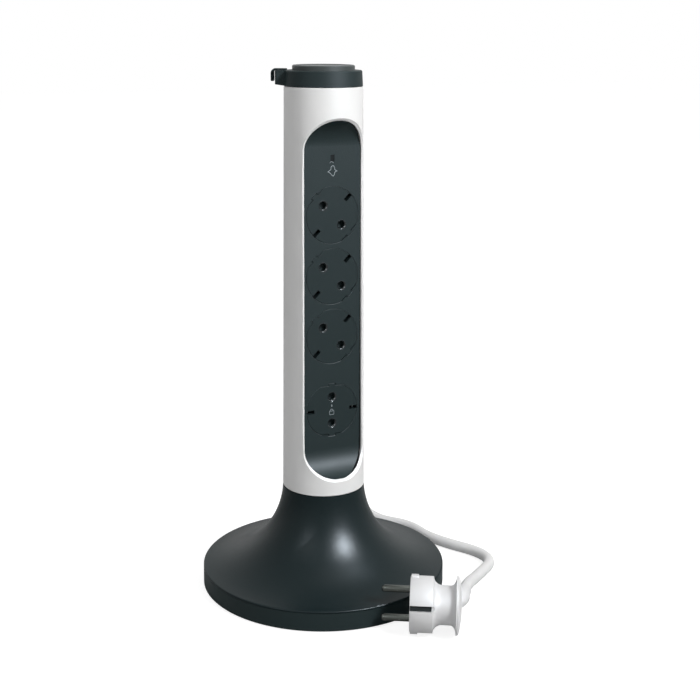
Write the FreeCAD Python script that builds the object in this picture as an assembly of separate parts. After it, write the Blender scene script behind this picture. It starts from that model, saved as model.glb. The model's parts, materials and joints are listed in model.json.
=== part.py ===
"""Socket tower: a four-way extension lead on a round base, with its tied cord and plug.

Millimetres. The origin is the centre of the base where it stands, +Z is up and the sockets face -Y.
"""
import FreeCAD, Part

import math
import os

V = FreeCAD.Vector
X_AXIS = V(1, 0, 0)
Y_AXIS = V(0, 1, 0)
Z_AXIS = V(0, 0, 1)
ORIGIN = V(0, 0, 0)

# How far a quarter arc's middle lies from the corner, as a share of its radius
arc_inset = 1 - math.sqrt(0.5)

# Fits
seam = 0.3
slide_gap = 0.3
touch_gap = 0.1

# Base
base_radius = 86.2
tray_flare = 0.2
rim_height = 15.2
foot_lift = 0.8
tray_floor = 2.4
tray_wall = 2.6
tray_edge = 0.6
shell_wall = 2.4
seam_below_rim = 1.2
rim_round = 0.8
lip_depth = 2.6
lip_width = 2.0
shoulder_height = 73.5
flare_lean_top = 4.0
flare_lean_rim = 4.5
flare_share_top = 0.5431
flare_share_rim = 0.5556

# Rubber feet and the weight, placed inwards from the rim
feet_count = 4
feet_inset = 18.2
feet_radius = 7.0
feet_thickness = 2.0
feet_groove = 0.35
feet_groove_radius = 4.34
weight_inset = 10.2
weight_hole = 14.0
weight_thickness = 4.0
weight_bridge = 6.0
weight_clearance = 0.8

# Base screws
base_screw_count = 4
base_screw_turn = 15.0
base_screw_inset = 34.2
boss_radius = 4.6
boss_blind = 2.0
screw_shank = 1.5
screw_hole = 1.7
screw_head_radius = 2.8
screw_head_height = 2.0
screw_head_room = 0.4
boss_split_height = 9.0
notch_depth = 6.0

# Column
column_side_foot = 2.623
column_side_top = 1.243
column_wall = 2.2
column_edge = 0.5
top_band = 20.7
spigot_height = 6.0
spigot_wall = 1.4
deck_thickness = 2.2
cable_hole_radius = 6.5
cable_hole_depth = 9.0

# Panel opening in the column, with rounded corners, and the panel that fills it
panel_front = 14.0
panel_wall = 2.0
opening_rise = 11.7
opening_corner = 19.6
side_room_top = 1.5
side_room_bottom = 2.9
opening_bevel = 1.7
panel_sink = 0.4
ramp_top_length = 17.0
ramp_bottom_length = 18.4

# Sockets: the gaps between their faces and to the ends of the opening
face_gap = 3.3
lower_gap = 14.15
margin_below = 27.05
margin_above = 43.5
socket_turns = (-45.0, -45.0, -45.0, 0.0)
face_radius = 19.1
face_flat_cut = 1.8
face_key_half = 2.4
face_thickness = 4.0
face_edge = 0.3
pin_hole_flare = 0.7
skirt_length = 3.2
skirt_wall = 1.2
pin_pitch = 19.0
pin_hole_radius = 2.55
slot_inset = 5.85
slot_width = 2.6
push_travel = 15.0

# Shutters behind the faces
shutter_thickness = 1.4
shutter_travel = 6.0
shutter_left = 11.5
shutter_right = 5.5
shutter_end_room = 2.6
shutter_bore = 2.9
shutter_window_half = 3.7
rail_width = 1.2
rail_lip = 1.2
rail_half_length = 9.5

# Wells, springs and contacts
well_gap = 0.4
well_wall = 1.0
well_floor = 1.2
pocket_radius = 4.0
pocket_wall = 0.7
pocket_floor = 1.0
pocket_depth = 4.4
spring_play = 0.05
spring_mean_radius = 3.0
spring_wire = 0.6
spring_turns = 6
face_boss_radius = 2.3
face_boss_length = 1.6
well_pin_hole = 3.0
sleeve_inner = 2.3
sleeve_outer = 3.5
sleeve_length = 8.0
sleeve_slit = 0.4
sleeve_root = 2.0
busbar_width = 4.3
busbar_thickness = 0.8
busbar_pocket_gap = 0.7
clip_width = 1.8
clip_thickness = 0.6
clip_foot_inset = 0.5
clip_nose_inset = 3.7
clip_tip_inset = 1.9
clip_tip_depth = 3.4
clip_nose_depth = 1.5
clip_knee_inset = 0.4
clip_knee_depth = 4.0
clip_lap = 0.6
clip_room_in = 1.0
clip_room_out = 0.4
earth_ring_gap = 0.2
earth_tab_half = 0.35
earth_tab_reach = 1.0
earth_side_x = 12.5
earth_foot_x = 5.5
earth_bar_half = 2.2
earth_leg_half = 1.5
earth_step = 4.0
earth_turn_gap = 2.0
earth_gap = 0.8

# Rear cover of the socket strip and its screws
cover_gap = 0.35
cover_wall = 1.2
cover_lug_half = 3.0
cover_lug_front = 12.4
cover_lug_back = 18.4
cover_lug_length = 10.0
end_screw_x = 6.2
end_screw_y = 15.4
end_screw_length = 8.0
strip_screw_x = 14.5
post_radius = 3.0
post_margin_above = 6.7
post_margin_below = 5.25
ear_stand_off = 2.6
ear_thickness = 2.0
strip_screw_length = 8.0
bar_foot_rise = 2.0
bar_top_rise = 2.0
earth_bar_rise = 4.5

# Surge protection
board_rise = 5.5
board_height = 22.0
board_half_width = 15.0
board_thickness = 1.6
board_gap = 8.0
board_post_x = 12.0
board_post_rise = 3.5
board_post_radius = 2.6
board_post_blind = 1.5
board_screw_length = 5.0
window_rise = 6.2
window_width = 2.6
window_length = 4.6
window_sink = 0.3
window_flange = 1.2
varistor_radius = 4.8
varistor_thickness = 4.4
varistor_spacing = 9.9
varistor_edge_gap = 1.0
fuse_radius = 1.7
fuse_length = 13.0
fuse_rise = 4.0
lamp_radius = 1.8
lamp_gap = 0.4

# Top ring, disc and hook
ring_height = 10.3
ring_inset = 0.2
ring_taper = 0.55
ring_wall = 3.4
ring_skirt = 7.0
ring_skirt_wall = 1.4
ring_edge = 0.5
disc_inset = 4.8
disc_height = 3.3
disc_edge = 0.6
disc_rim = 2.2
disc_slope = 0.8
disc_dish = 0.5
disc_spigot_radius = 11.0
disc_spigot_length = 5.0
lug_direction = 154.0
lug_length = 6.3
lug_width = 9.0
lug_rise = 0.85
lug_drop = 0.2
lug_round = 1.2
hook_gap = 0.55
hook_thickness = 2.3
hook_width = 6.0
hook_drop = 8.2
hook_rise = 1.0
hook_bend = 0.8
hook_foot_inset = 1.5

# Cord, its gland and its clamp
cord_radius = 4.0
cord_floor_room = 0.4
gland_neck_wall = 1.5
gland_plate_side = 2.0
gland_plate_rise = 4.9
gland_plate_thickness = 2.6
gland_plate_inset = 3.0
gland_collar = 1.0
gland_stand_off = 0.4
gland_lap = 0.2
gland_sleeve_wall = 2.4
gland_sleeve_tip_wall = 0.9
gland_sleeve_length = 27.0
clamp_inset = 24.2
clamp_length = 9.0
clamp_cover = 2.4
clamp_screw_side = 5.0
clamp_end = 3.4
clamp_post_radius = 3.1
clamp_post_blind = 1.0
clamp_screw_grip = 3.0
tail_inset = 40.2
wire_radius = 1.3
wire_spread = 1.6
wire_lift = 2.6
wire_straight = 10.0
wire_deck_spread = 3.0
wire_foot = 10.0
wire_swing = (0.1304, 0.0217)
phase_bends = (0.5652, 0.3043)
phase_rises = (-65.5, -47.5, -25.5, 4.5)
earth_bends = (0.6522, 0.413)
earth_rises = (-59.5, -43.5, -23.5, 5.5)
earth_deck_shift = 4.2
floor_gap = 0.06

# View direction along which the cord lies behind the tower, in degrees from +X
view_turn = 25.97
hank_turn = 65.28

# Hank of the put-away cord
hank_stand_off = 79.8
hank_run = 100.0
hank_fold = 26.0
hank_waist = 5.0
hank_loops = 3
strand_gap = 0.6
hank_way_gap = 0.2
lead_side = 2.5
lead_straight = 6.0
lead_reach = 22.0
lead_level = 12.0
lead_last = 3.0
exit_reach = 8.0
exit_straight = 21.6
tie_width = 9.0
tie_thickness = 1.2
tie_gap = 0.35
tie_top_gap = 1.0
tie_round = 2.0

# Free cord along the photographed line: beyond the rim, direction in the view, lift off the floor
free_cord = (
    (29.795, 77.857, 9.84),
    (19.201, 68.4, 0.64),
    (24.76, 52.986, 0.0),
    (15.24, 36.825, 0.0),
    (46.454, 12.318, 0.0),
    (23.48, -12.693, 6.24),
)

# Plug: its front's nearness to the rim and direction, and the way it points in the view
plug_nearness = 4.765
plug_direction = -54.119
plug_turn = -5.0
plug_roll = -16.0
plug_radius = 18.6
plug_body_length = 15.3
plug_rib = 0.8
plug_rib_length = 5.6
plug_rib_width = 9.0
waist_half_height = 12.9
waist_half_depth = 15.2
waist_length = 15.6
waist_fillet = 3.0
flange_thickness = 3.2
flange_round = 1.3
pin_radius = 2.4
pin_length = 19.0
pin_root = 6.0
pin_tip_share = 0.6
earth_slot_length = 16.6
earth_slot_height = 3.7
earth_slot_depth = 2.4
earth_strip = 0.8
earth_strip_side = 0.25
earth_strip_start = 0.4
earth_strip_end = 2.2
earth_hole_radius = 2.6
earth_hole_offset = 10.0
earth_hole_depth = 12.0
plug_lap = 1.0
plug_sleeve_sink = 4.0
plug_sleeve_turn = 74.7
plug_sleeve_dip = 5.6
plug_sleeve_wall = 2.6
plug_sleeve_tip_wall = 0.7
plug_sleeve_length = 30.5
plug_straight = 16.0

# Base sizes worked out from the sizes above
tray_foot_radius = base_radius + tray_flare
shell_foot = rim_height - seam_below_rim
tray_top = shell_foot - seam
tray_floor_top = foot_lift + tray_floor
feet_circle = base_radius - feet_inset
weight_outer = base_radius - weight_inset
base_screw_circle = base_radius - base_screw_inset
deck_top = shoulder_height + spigot_height

# Opening, sockets and column
opening_top_half = face_radius + side_room_top
opening_bottom_half = face_radius + side_room_bottom
column_foot_radius = math.hypot(panel_front, opening_bottom_half) + column_side_foot
column_top_radius = math.hypot(panel_front, opening_top_half) + column_side_top
opening_bottom = shoulder_height + opening_rise
lowest_socket = opening_bottom + margin_below + face_radius
third_socket = lowest_socket + 2 * face_radius + lower_gap
second_socket = third_socket + 2 * face_radius + face_gap
first_socket = second_socket + 2 * face_radius + face_gap
socket_heights = (first_socket, second_socket, third_socket, lowest_socket)
opening_top = first_socket + face_radius + margin_above
column_top_height = opening_top + top_band
face_flat = face_radius - face_flat_cut
pin_offset = pin_pitch / 2
slot_inner = face_radius - slot_inset
panel_back = -panel_front + panel_wall
face_back = -panel_front + face_thickness
shutter_back = face_back + touch_gap + shutter_thickness
shutter_room = face_flat - skirt_wall - slide_gap
shutter_half_height = shutter_room - shutter_end_room
rail_back = shutter_back + touch_gap + rail_lip
skirt_back = face_back + skirt_length
well_floor_front = max(rail_back, skirt_back) + push_travel + slide_gap
well_floor_back = well_floor_front + well_floor
pocket_bottom = well_floor_front + pocket_depth
pocket_outer = pocket_radius + pocket_wall
well_bore = face_radius + well_gap
well_outer = well_bore + well_wall
busbar_front = well_floor_back + touch_gap
busbar_back = busbar_front + busbar_thickness
busbar_inner_edge = pocket_outer + busbar_pocket_gap
clip_foot_radius = face_radius - clip_foot_inset
clip_nose_radius = face_radius - clip_nose_inset
clip_tip_radius = face_radius - clip_tip_inset
earth_front = busbar_back + earth_gap
earth_back = earth_front + busbar_thickness
earth_ring_outer = pin_offset - sleeve_outer - slide_gap
earth_bar_front = pocket_bottom + pocket_floor + 2 * slide_gap
post_levels = (
    first_socket + face_radius + post_margin_above,
    (first_socket + second_socket) / 2,
    (second_socket + third_socket) / 2,
    (third_socket + lowest_socket) / 2,
    lowest_socket - face_radius - post_margin_below,
)
bar_foot = post_levels[-1] + bar_foot_rise
earth_bar_foot = post_levels[-1] + earth_bar_rise
board_bottom = post_levels[0] + board_rise
board_post_height = board_bottom + board_post_rise
window_height = board_bottom + window_rise

# Cover and top
ring_top_height = column_top_height + ring_height
ring_plate = ring_top_height - ring_wall
ring_foot_radius = column_top_radius - ring_inset
ring_top_radius = ring_foot_radius - ring_taper
disc_radius = ring_top_radius - disc_inset
lug_reach = ring_top_radius + lug_length
cover_outer = column_top_radius - column_wall - cover_gap
cover_bottom = deck_top + touch_gap
cover_top = column_top_height - ring_skirt - slide_gap
ear_front = busbar_front + ear_stand_off

# Cord and plug
cord_low = cord_radius + floor_gap
gland_height = tray_floor_top + cord_radius + cord_floor_room
gland_neck = cord_radius + gland_neck_wall
gland_plate_half = gland_neck + gland_plate_side
gland_plate_top = gland_height + gland_plate_rise
gland_inner = base_radius - tray_wall - gland_plate_inset
gland_sleeve_radius = cord_radius + gland_sleeve_wall
gland_sleeve_end = cord_radius + gland_sleeve_tip_wall
gland_end = base_radius + gland_stand_off + gland_sleeve_length
clamp_reach = base_radius - clamp_inset
clamp_screw_offset = cord_radius + clamp_screw_side
clamp_half_width = clamp_screw_offset + clamp_end
clamp_height = cord_radius + clamp_cover
tail_reach = base_radius - tail_inset
hank_near = base_radius + hank_stand_off
hank_far = hank_near + hank_run
hank_middle = hank_near + hank_run / 2
hank_pitch = 2 * cord_radius + strand_gap
hank_top = cord_low + hank_loops * hank_pitch
hank_way = clamp_half_width + hank_way_gap
flange_radius = plug_radius + plug_rib
flange_front = plug_body_length + waist_length
plug_rear = flange_front + flange_thickness
plug_distance = base_radius + flange_radius - plug_nearness
plug_sleeve_radius = cord_radius + plug_sleeve_wall
plug_sleeve_end = cord_radius + plug_sleeve_tip_wall


def column_radius(height):
    """Outer radius of the tapering column at a height."""
    share = (height - shoulder_height) / (column_top_height - shoulder_height)
    return column_foot_radius + share * (column_top_radius - column_foot_radius)


def polar(radius, degrees, height=0.0):
    angle = math.radians(degrees)
    return V(radius * math.cos(angle), radius * math.sin(angle), height)


def cylinder(radius, length, base=ORIGIN, axis=Z_AXIS):
    return Part.makeCylinder(radius, length, base, axis)


def pipe(outer, inner, length, base=ORIGIN, axis=Z_AXIS):
    return cylinder(outer, length, base, axis).cut(cylinder(inner, length, base, axis))


def block(low, high):
    """A box between two corners given as (x, y, z)."""
    size = [b - a for a, b in zip(low, high)]
    return Part.makeBox(size[0], size[1], size[2], V(*low))


def turned(points):
    """A solid of revolution about Z from (radius, height) points."""
    wire = Part.makePolygon([V(r, 0, z) for r, z in points] + [V(points[0][0], 0, points[0][1])])
    return Part.Face(wire).revolve(ORIGIN, Z_AXIS, 360)


def joined(shapes):
    """One solid from overlapping shapes."""
    result = shapes[0]
    for shape in shapes[1:]:
        result = result.fuse(shape)
    return result.removeSplitter()


def less(shape, tools):
    for tool in tools:
        shape = shape.cut(tool)
    return shape


def group(shapes):
    return Part.makeCompound(shapes)


def moved(shape, shift, turn=0.0, axis=Z_AXIS):
    """A copy turned about an axis through the origin and then shifted."""
    copy = shape.copy()
    if turn:
        copy.rotate(ORIGIN, axis, turn)
    copy.translate(shift)
    return copy


def in_socket(shape, index):
    """Place a shape drawn for an upright socket at the origin into one of the sockets."""
    return moved(shape, V(0, 0, socket_heights[index]), socket_turns[index], Y_AXIS)


def seen_point(x, y, z):
    """A point given as right, away and up in the photograph's view."""
    angle = math.radians(view_turn)
    across = V(math.cos(angle), -math.sin(angle), 0)
    away = V(math.sin(angle), math.cos(angle), 0)
    return across * x + away * y + V(0, 0, z)


def rim_point(beyond, direction, height):
    """A point beyond the base's rim, in a direction of the photograph's view."""
    place = polar(base_radius + beyond, direction)
    return seen_point(place.x, place.y, height)


def hank_point(along, side, height):
    """A point given along the hank, to its right side and up."""
    angle = math.radians(hank_turn)
    forward = V(math.cos(angle), math.sin(angle), 0)
    right = V(math.sin(angle), -math.cos(angle), 0)
    return forward * along + right * side + V(0, 0, height)


def hank_heading(along, side, climb=0.0):
    """A direction in the hank's frame, as a unit vector."""
    return (hank_point(along, side, climb)).normalize()


def screw(tip, length, axis, head_radius=screw_head_radius, head_height=screw_head_height):
    """A pan-head screw whose head starts at tip and whose shank follows the axis."""
    head = cylinder(head_radius, head_height, tip, axis)
    shank = cylinder(screw_shank, length, tip + axis * head_height, axis)
    recess = cylinder(head_radius * 0.45, head_height * 0.5, tip, axis)
    return head.fuse(shank).cut(recess).removeSplitter()


# Smooth paths


def arc_edges(start, heading, end):
    """One arc, or a straight edge, that leaves start along heading and ends at end."""
    chord = end - start
    along = chord.dot(heading)
    across = chord - heading * along
    if across.Length < 1e-6:
        return [Part.LineSegment(start, end).toShape()], heading
    radius = chord.Length ** 2 / (2 * across.Length)
    centre = start + across.normalize() * radius
    angle = math.atan2(along, radius - (end - start).dot(across.normalize()))
    if along < 0:
        angle += 2 * math.pi
    side = start - centre
    middle = centre + side * math.cos(angle / 2) + heading * (radius * math.sin(angle / 2))
    leave = heading * math.cos(angle) - (side * (1 / radius)) * math.sin(angle)
    return [Part.Arc(start, middle, end).toShape()], leave


def biarc_edges(start, heading, end, leaving):
    """Two tangent arcs from start along heading to end along leaving."""
    chord = end - start
    total = heading + leaving
    square = 2 * (1 - heading.dot(leaving))
    reach = chord.dot(total)
    if square < 1e-9:
        if chord.cross(heading).Length < 1e-6:
            return [Part.LineSegment(start, end).toShape()]
        handle = chord.dot(chord) / (4 * chord.dot(leaving))
    else:
        handle = (-reach + math.sqrt(reach ** 2 + square * chord.dot(chord))) / square
    knee = (start + heading * handle + end - leaving * handle) * 0.5
    first, middle_heading = arc_edges(start, heading, knee)
    second, _ = arc_edges(knee, middle_heading, end)
    return first + second


def smooth_path(stations):
    """A tangent path through (point, heading) stations, as a wire."""
    edges = []
    for (start, heading), (end, leaving) in zip(stations, stations[1:]):
        edges += biarc_edges(start, heading, end, leaving)
    return Part.Wire(edges)


def rounded_route(points):
    """Straight runs joined by the largest tangent arcs that fit, and their radii."""
    edges = []
    radii = []
    place = points[0]
    for before, corner, after in zip(points, points[1:], points[2:]):
        back = before - corner
        onward = after - corner
        shorter = min(back.Length, onward.Length)
        back.normalize()
        onward.normalize()
        half_turn = (math.pi - back.getAngle(onward)) / 2
        radius = 0.45 * shorter / math.tan(half_turn)
        radii.append(radius)
        start = corner + back * (0.45 * shorter)
        end = corner + onward * (0.45 * shorter)
        bisector = (back + onward).normalize()
        middle = corner + bisector * (radius / math.cos(half_turn) - radius)
        edges.append(Part.LineSegment(place, start).toShape())
        edges.append(Part.Arc(start, middle, end).toShape())
        place = end
    edges.append(Part.LineSegment(place, points[-1]).toShape())
    return Part.Wire(edges), radii


def swept_round(path, radius, start, heading):
    """A round bar along a wire."""
    ring = Part.Wire([Part.makeCircle(radius, start, heading)])
    return path.makePipeShell([ring], True, False)


def report_tube(name, solid, path, radius):
    expected = math.pi * radius ** 2 * path.Length
    print(name, "length", round(path.Length, 1), "volume share", round(solid.Volume / expected, 4))


# Base


def flare_edge(shift):
    """The trumpet's curve, moved inwards by shift from the outer surface."""
    top_lean = math.radians(flare_lean_top)
    rim_lean = math.radians(flare_lean_rim)
    top = V(column_foot_radius - shift, 0, shoulder_height - seam)
    rim = V(base_radius - rim_round - shift, 0, rim_height - shift)
    reach_top = flare_share_top * (top.z - rim_height)
    reach_rim = flare_share_rim * (base_radius - rim_round - column_foot_radius)
    handle_top = top + V(math.sin(top_lean), 0, -math.cos(top_lean)) * reach_top
    handle_rim = rim + V(-math.cos(rim_lean), 0, math.sin(rim_lean)) * reach_rim
    curve = Part.BezierCurve()
    curve.setPoles([top, handle_top, handle_rim, rim])
    return curve.toShape()


def flare_height(radius, shift):
    """Height of the trumpet's curve at a radius."""
    edge = flare_edge(shift)
    line = Part.makeLine(V(radius, 0, 0), V(radius, 0, shoulder_height))
    hit = edge.distToShape(line)[1][0][0]
    return hit.z


def base_shell():
    outer = flare_edge(0)
    inner = flare_edge(shell_wall)
    lip_outer = base_radius - tray_wall - slide_gap
    lip_inner = lip_outer - lip_width
    lip_foot = shell_foot - lip_depth
    corner = V(base_radius, 0, rim_height - rim_round)
    inset = rim_round * arc_inset
    rounding = Part.Arc(V(base_radius - rim_round, 0, rim_height),
                        V(base_radius - inset, 0, rim_height - inset), corner)
    spigot_outer = column_foot_radius - column_wall - slide_gap
    spigot_inner = spigot_outer - spigot_wall
    inner_top = inner.Vertexes[0].Point
    inner_rim = inner.Vertexes[-1].Point
    path = [
        V(base_radius, 0, shell_foot), V(lip_outer, 0, shell_foot), V(lip_outer, 0, lip_foot),
        V(lip_inner, 0, lip_foot), V(lip_inner, 0, inner_rim.z), inner_rim,
    ]
    edges = [Part.makeLine(a, b) for a, b in zip([corner] + path, path)]
    edges.append(inner)
    above = [
        inner_top, V(spigot_inner, 0, inner_top.z), V(spigot_inner, 0, deck_top - deck_thickness),
        V(0, 0, deck_top - deck_thickness), V(0, 0, deck_top),
        V(spigot_outer, 0, deck_top), V(spigot_outer, 0, shoulder_height - seam),
        V(column_foot_radius, 0, shoulder_height - seam),
    ]
    edges += [Part.makeLine(a, b) for a, b in zip(above, above[1:])]
    edges += [outer, rounding.toShape()]
    profile = Part.Wire(Part.__sortEdges__(edges))
    shell = Part.Face(profile).revolve(ORIGIN, Z_AXIS, 360)
    shell = shell.cut(cylinder(cable_hole_radius, deck_top, V(0, cable_hole_depth, 0)))
    for x in (-end_screw_x, end_screw_x):
        shell = shell.cut(cylinder(screw_hole, deck_top, V(x, end_screw_y, shell_foot)))
    return add_shell_bosses(shell)


def base_screw_places():
    step = 360 / base_screw_count
    return [polar(base_screw_circle, step * k + base_screw_turn) for k in range(base_screw_count)]


def add_shell_bosses(shell):
    """Screw bosses under the trumpet, trimmed to its inner side."""
    length = flare_height(base_screw_circle + boss_radius, shell_wall / 2) - boss_split_height
    for place in base_screw_places():
        start = place + V(0, 0, boss_split_height)
        boss = cylinder(boss_radius, length, start)
        hole = cylinder(screw_shank, length - boss_blind, start)
        shell = shell.fuse(boss).cut(hole)
    notch = block((base_radius - tray_wall - notch_depth, -gland_plate_half - seam, 0),
                  (base_radius - tray_wall, gland_plate_half + seam, shell_foot))
    notch.rotate(ORIGIN, Z_AXIS, hank_turn)
    return shell.cut(notch).removeSplitter()


def gland_axis():
    """Centre of the cord's way out at the rim, and its direction."""
    return hank_heading(1, 0)


def gland_passage(gap):
    """The room that the gland's neck takes in the wall, open upwards in the tray."""
    outward = gland_axis()
    start = outward * gland_inner + V(0, 0, gland_height)
    return cylinder(gland_neck + gap, 2 * (base_radius - gland_inner), start, outward)


def base_tray():
    tray = turned([
        (0, foot_lift), (tray_foot_radius - tray_edge, foot_lift), (tray_foot_radius, foot_lift + tray_edge),
        (base_radius, tray_top), (base_radius - tray_wall, tray_top),
        (base_radius - tray_wall, tray_floor_top), (0, tray_floor_top),
    ])
    for place in base_screw_places():
        boss = cylinder(boss_radius, boss_split_height - touch_gap - foot_lift, place + V(0, 0, foot_lift))
        tray = tray.fuse(boss)
    for place in base_screw_places():
        tray = tray.cut(cylinder(screw_hole, boss_split_height, place))
        recess = foot_lift + screw_head_height + screw_head_room
        tray = tray.cut(cylinder(screw_head_radius + slide_gap, recess, place))
    for place in feet_places():
        tray = tray.cut(cylinder(feet_radius + touch_gap, feet_thickness, place))
    tray = tray.cut(gland_passage(touch_gap))
    slot = block((gland_inner, -gland_neck - touch_gap, gland_height),
                 (2 * base_radius, gland_neck + touch_gap, rim_height))
    slot.rotate(ORIGIN, Z_AXIS, hank_turn)
    tray = tray.cut(slot)
    for side in (-1, 1):
        foot = hank_point(clamp_reach, side * clamp_screw_offset, tray_floor_top)
        tray = tray.fuse(cylinder(clamp_post_radius, gland_height - touch_gap - tray_floor_top, foot))
        tray = tray.cut(cylinder(screw_shank, gland_height, foot + V(0, 0, clamp_post_blind)))
    return tray.removeSplitter()


def feet_places():
    step = 360 / feet_count
    return [polar(feet_circle, step * (k + 0.5) + base_screw_turn) for k in range(feet_count)]


def rubber_feet():
    pads = []
    for place in feet_places():
        pad = cylinder(feet_radius, feet_thickness, place)
        ring = Part.makeTorus(feet_groove_radius, feet_groove, place)
        pads.append(pad.cut(ring))
    return group(pads)


def base_screws():
    start = V(0, 0, foot_lift + screw_head_room)
    return group([screw(place + start, boss_split_height, Z_AXIS) for place in base_screw_places()])


def base_weight():
    plate = pipe(weight_outer, weight_hole, weight_thickness, V(0, 0, tray_floor_top))
    for place in base_screw_places():
        plate = plate.cut(cylinder(boss_radius + weight_clearance, rim_height, place))
    way = block((weight_hole + weight_bridge, -hank_way, 0), (base_radius, hank_way, rim_height))
    way.rotate(ORIGIN, Z_AXIS, hank_turn)
    return plate.cut(way)


# Column and panel


def opening_bar(inset):
    """A bar along Y with the outline of the panel opening, drawn in by inset."""
    low = opening_bottom + inset
    high = opening_top - inset
    half_low = opening_bottom_half - inset
    half_high = opening_top_half - inset
    length = 2 * column_foot_radius
    corners = [V(-half_low, 0, low), V(half_low, 0, low), V(half_high, 0, high), V(-half_high, 0, high)]
    bar = Part.Face(Part.makePolygon(corners + corners[:1])).extrude(V(0, -length, 0))
    edges = [e for e in bar.Edges if abs(e.BoundBox.YLength - length) < 1e-3]
    return bar.makeFillet(opening_corner - inset, edges)


def column_shell():
    edge = column_edge
    outer = turned([
        (0, shoulder_height), (column_foot_radius - edge, shoulder_height),
        (column_radius(shoulder_height + edge), shoulder_height + edge),
        (column_radius(column_top_height - edge), column_top_height - edge),
        (column_top_radius - edge, column_top_height), (0, column_top_height),
    ])
    inner = turned([
        (0, shoulder_height - 1), (column_foot_radius - column_wall, shoulder_height - 1),
        (column_top_radius - column_wall, column_top_height + 1), (0, column_top_height + 1),
    ])
    shell = outer.cut(inner)
    shell = shell.cut(opening_bar(0))
    rim = []
    for e in shell.Edges:
        point = e.valueAt((e.FirstParameter + e.LastParameter) / 2)
        on_outside = abs(math.hypot(point.x, point.y) - column_radius(point.z)) < 0.05
        at_opening = opening_bottom - 1 < point.z < opening_top + 1
        if on_outside and at_opening and point.y < 0:
            rim.append(e)
    return shell.makeChamfer(opening_bevel, rim)


def ramp_profile(depth_shift):
    """Points and arcs of the panel's front in the middle plane, moved back by depth_shift."""
    bottom_rise = column_radius(opening_bottom) - panel_front
    top_rise = column_radius(opening_top) - panel_front
    r_b = (ramp_bottom_length ** 2 + bottom_rise ** 2) / (2 * bottom_rise)
    r_t = (ramp_top_length ** 2 + top_rise ** 2) / (2 * top_rise)
    c_b = V(0, -panel_front - r_b, opening_bottom + ramp_bottom_length)
    c_t = V(0, -panel_front - r_t, opening_top - ramp_top_length)
    reach_b = math.atan2(ramp_bottom_length, r_b - bottom_rise)
    reach_t = math.atan2(ramp_top_length, r_t - top_rise)
    r_b += depth_shift
    r_t += depth_shift

    def on_arc(centre, radius, angle, sign):
        return centre + V(0, radius * math.cos(angle), sign * radius * math.sin(angle))

    b_end = on_arc(c_b, r_b, reach_b, -1)
    b_mid = on_arc(c_b, r_b, reach_b / 2, -1)
    b_start = on_arc(c_b, r_b, 0, -1)
    t_start = on_arc(c_t, r_t, 0, 1)
    t_mid = on_arc(c_t, r_t, reach_t / 2, 1)
    t_end = on_arc(c_t, r_t, reach_t, 1)
    edges = [
        Part.Arc(b_end, b_mid, b_start).toShape(),
        Part.makeLine(b_start, t_start),
        Part.Arc(t_start, t_mid, t_end).toShape(),
    ]
    return edges, b_end, t_end


def socket_panel():
    front, f_low, f_high = ramp_profile(0)
    back, b_low, b_high = ramp_profile(panel_wall)
    profile = Part.Wire(Part.__sortEdges__(
        front + [Part.makeLine(f_high, b_high)] + back + [Part.makeLine(b_low, f_low)]))
    half = 2 * opening_bottom_half
    band = Part.Face(profile)
    band.translate(V(-half, 0, 0))
    band = band.extrude(V(2 * half, 0, 0))
    body = turned([
        (0, shoulder_height), (column_foot_radius - panel_sink, shoulder_height),
        (column_top_radius - panel_sink, column_top_height), (0, column_top_height),
    ])
    panel = band.common(opening_bar(seam)).common(body)
    for level in post_levels:
        for x in (-strip_screw_x, strip_screw_x):
            length = ear_front - touch_gap - panel_back
            panel = panel.fuse(cylinder(post_radius, length, V(x, panel_back, level), Y_AXIS))
    for level in post_levels:
        for x in (-strip_screw_x, strip_screw_x):
            start = V(x, ear_front - strip_screw_length, level)
            panel = panel.cut(cylinder(screw_shank, strip_screw_length, start, Y_AXIS))
    for index in range(len(socket_heights)):
        hole = face_outline(slide_gap, -2 * panel_front, 2 * panel_front)
        panel = panel.cut(in_socket(hole, index))
    for x in (-board_post_x, board_post_x):
        post = cylinder(board_post_radius, board_gap, V(x, panel_back, board_post_height), Y_AXIS)
        start = V(x, panel_back + board_post_blind, board_post_height)
        panel = panel.fuse(post).cut(cylinder(screw_shank, board_gap, start, Y_AXIS))
    window = window_block(touch_gap, -panel_front - 1, panel_back + 1)
    return panel.cut(window).removeSplitter()


def window_block(gap, front, back):
    half_w = window_width / 2 + gap
    half_l = window_length / 2 + gap
    return block((-half_w, front, window_height - half_l), (half_w, back, window_height + half_l))


def indicator_window():
    return window_block(0, -panel_front + window_sink, panel_back + window_flange)


# Sockets, drawn upright round the origin with the pins above each other


def face_outline(gap, front, back):
    """Round face with flats above and below and a key in each flat."""
    disc = cylinder(face_radius + gap, back - front, V(0, front, 0), Y_AXIS)
    wide = face_radius + gap + 1
    flat = face_flat + gap
    key = face_key_half + gap
    middle = block((-wide, front, -flat), (wide, back, flat))
    keys = block((-key, front, -wide), (key, back, wide))
    return disc.common(middle.fuse(keys)).removeSplitter()


def pin_bores(radius, front, back):
    return [cylinder(radius, back - front, V(0, front, side * pin_offset), Y_AXIS) for side in (-1, 1)]


def earth_slots(gap, front, back, inner=slot_inner, outer=2 * face_radius):
    half = slot_width / 2 + gap
    slots = []
    for side in (-1, 1):
        near, far = sorted((side * inner, side * outer))
        slots.append(block((near, front, -half), (far, back, half)))
    return slots


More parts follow.
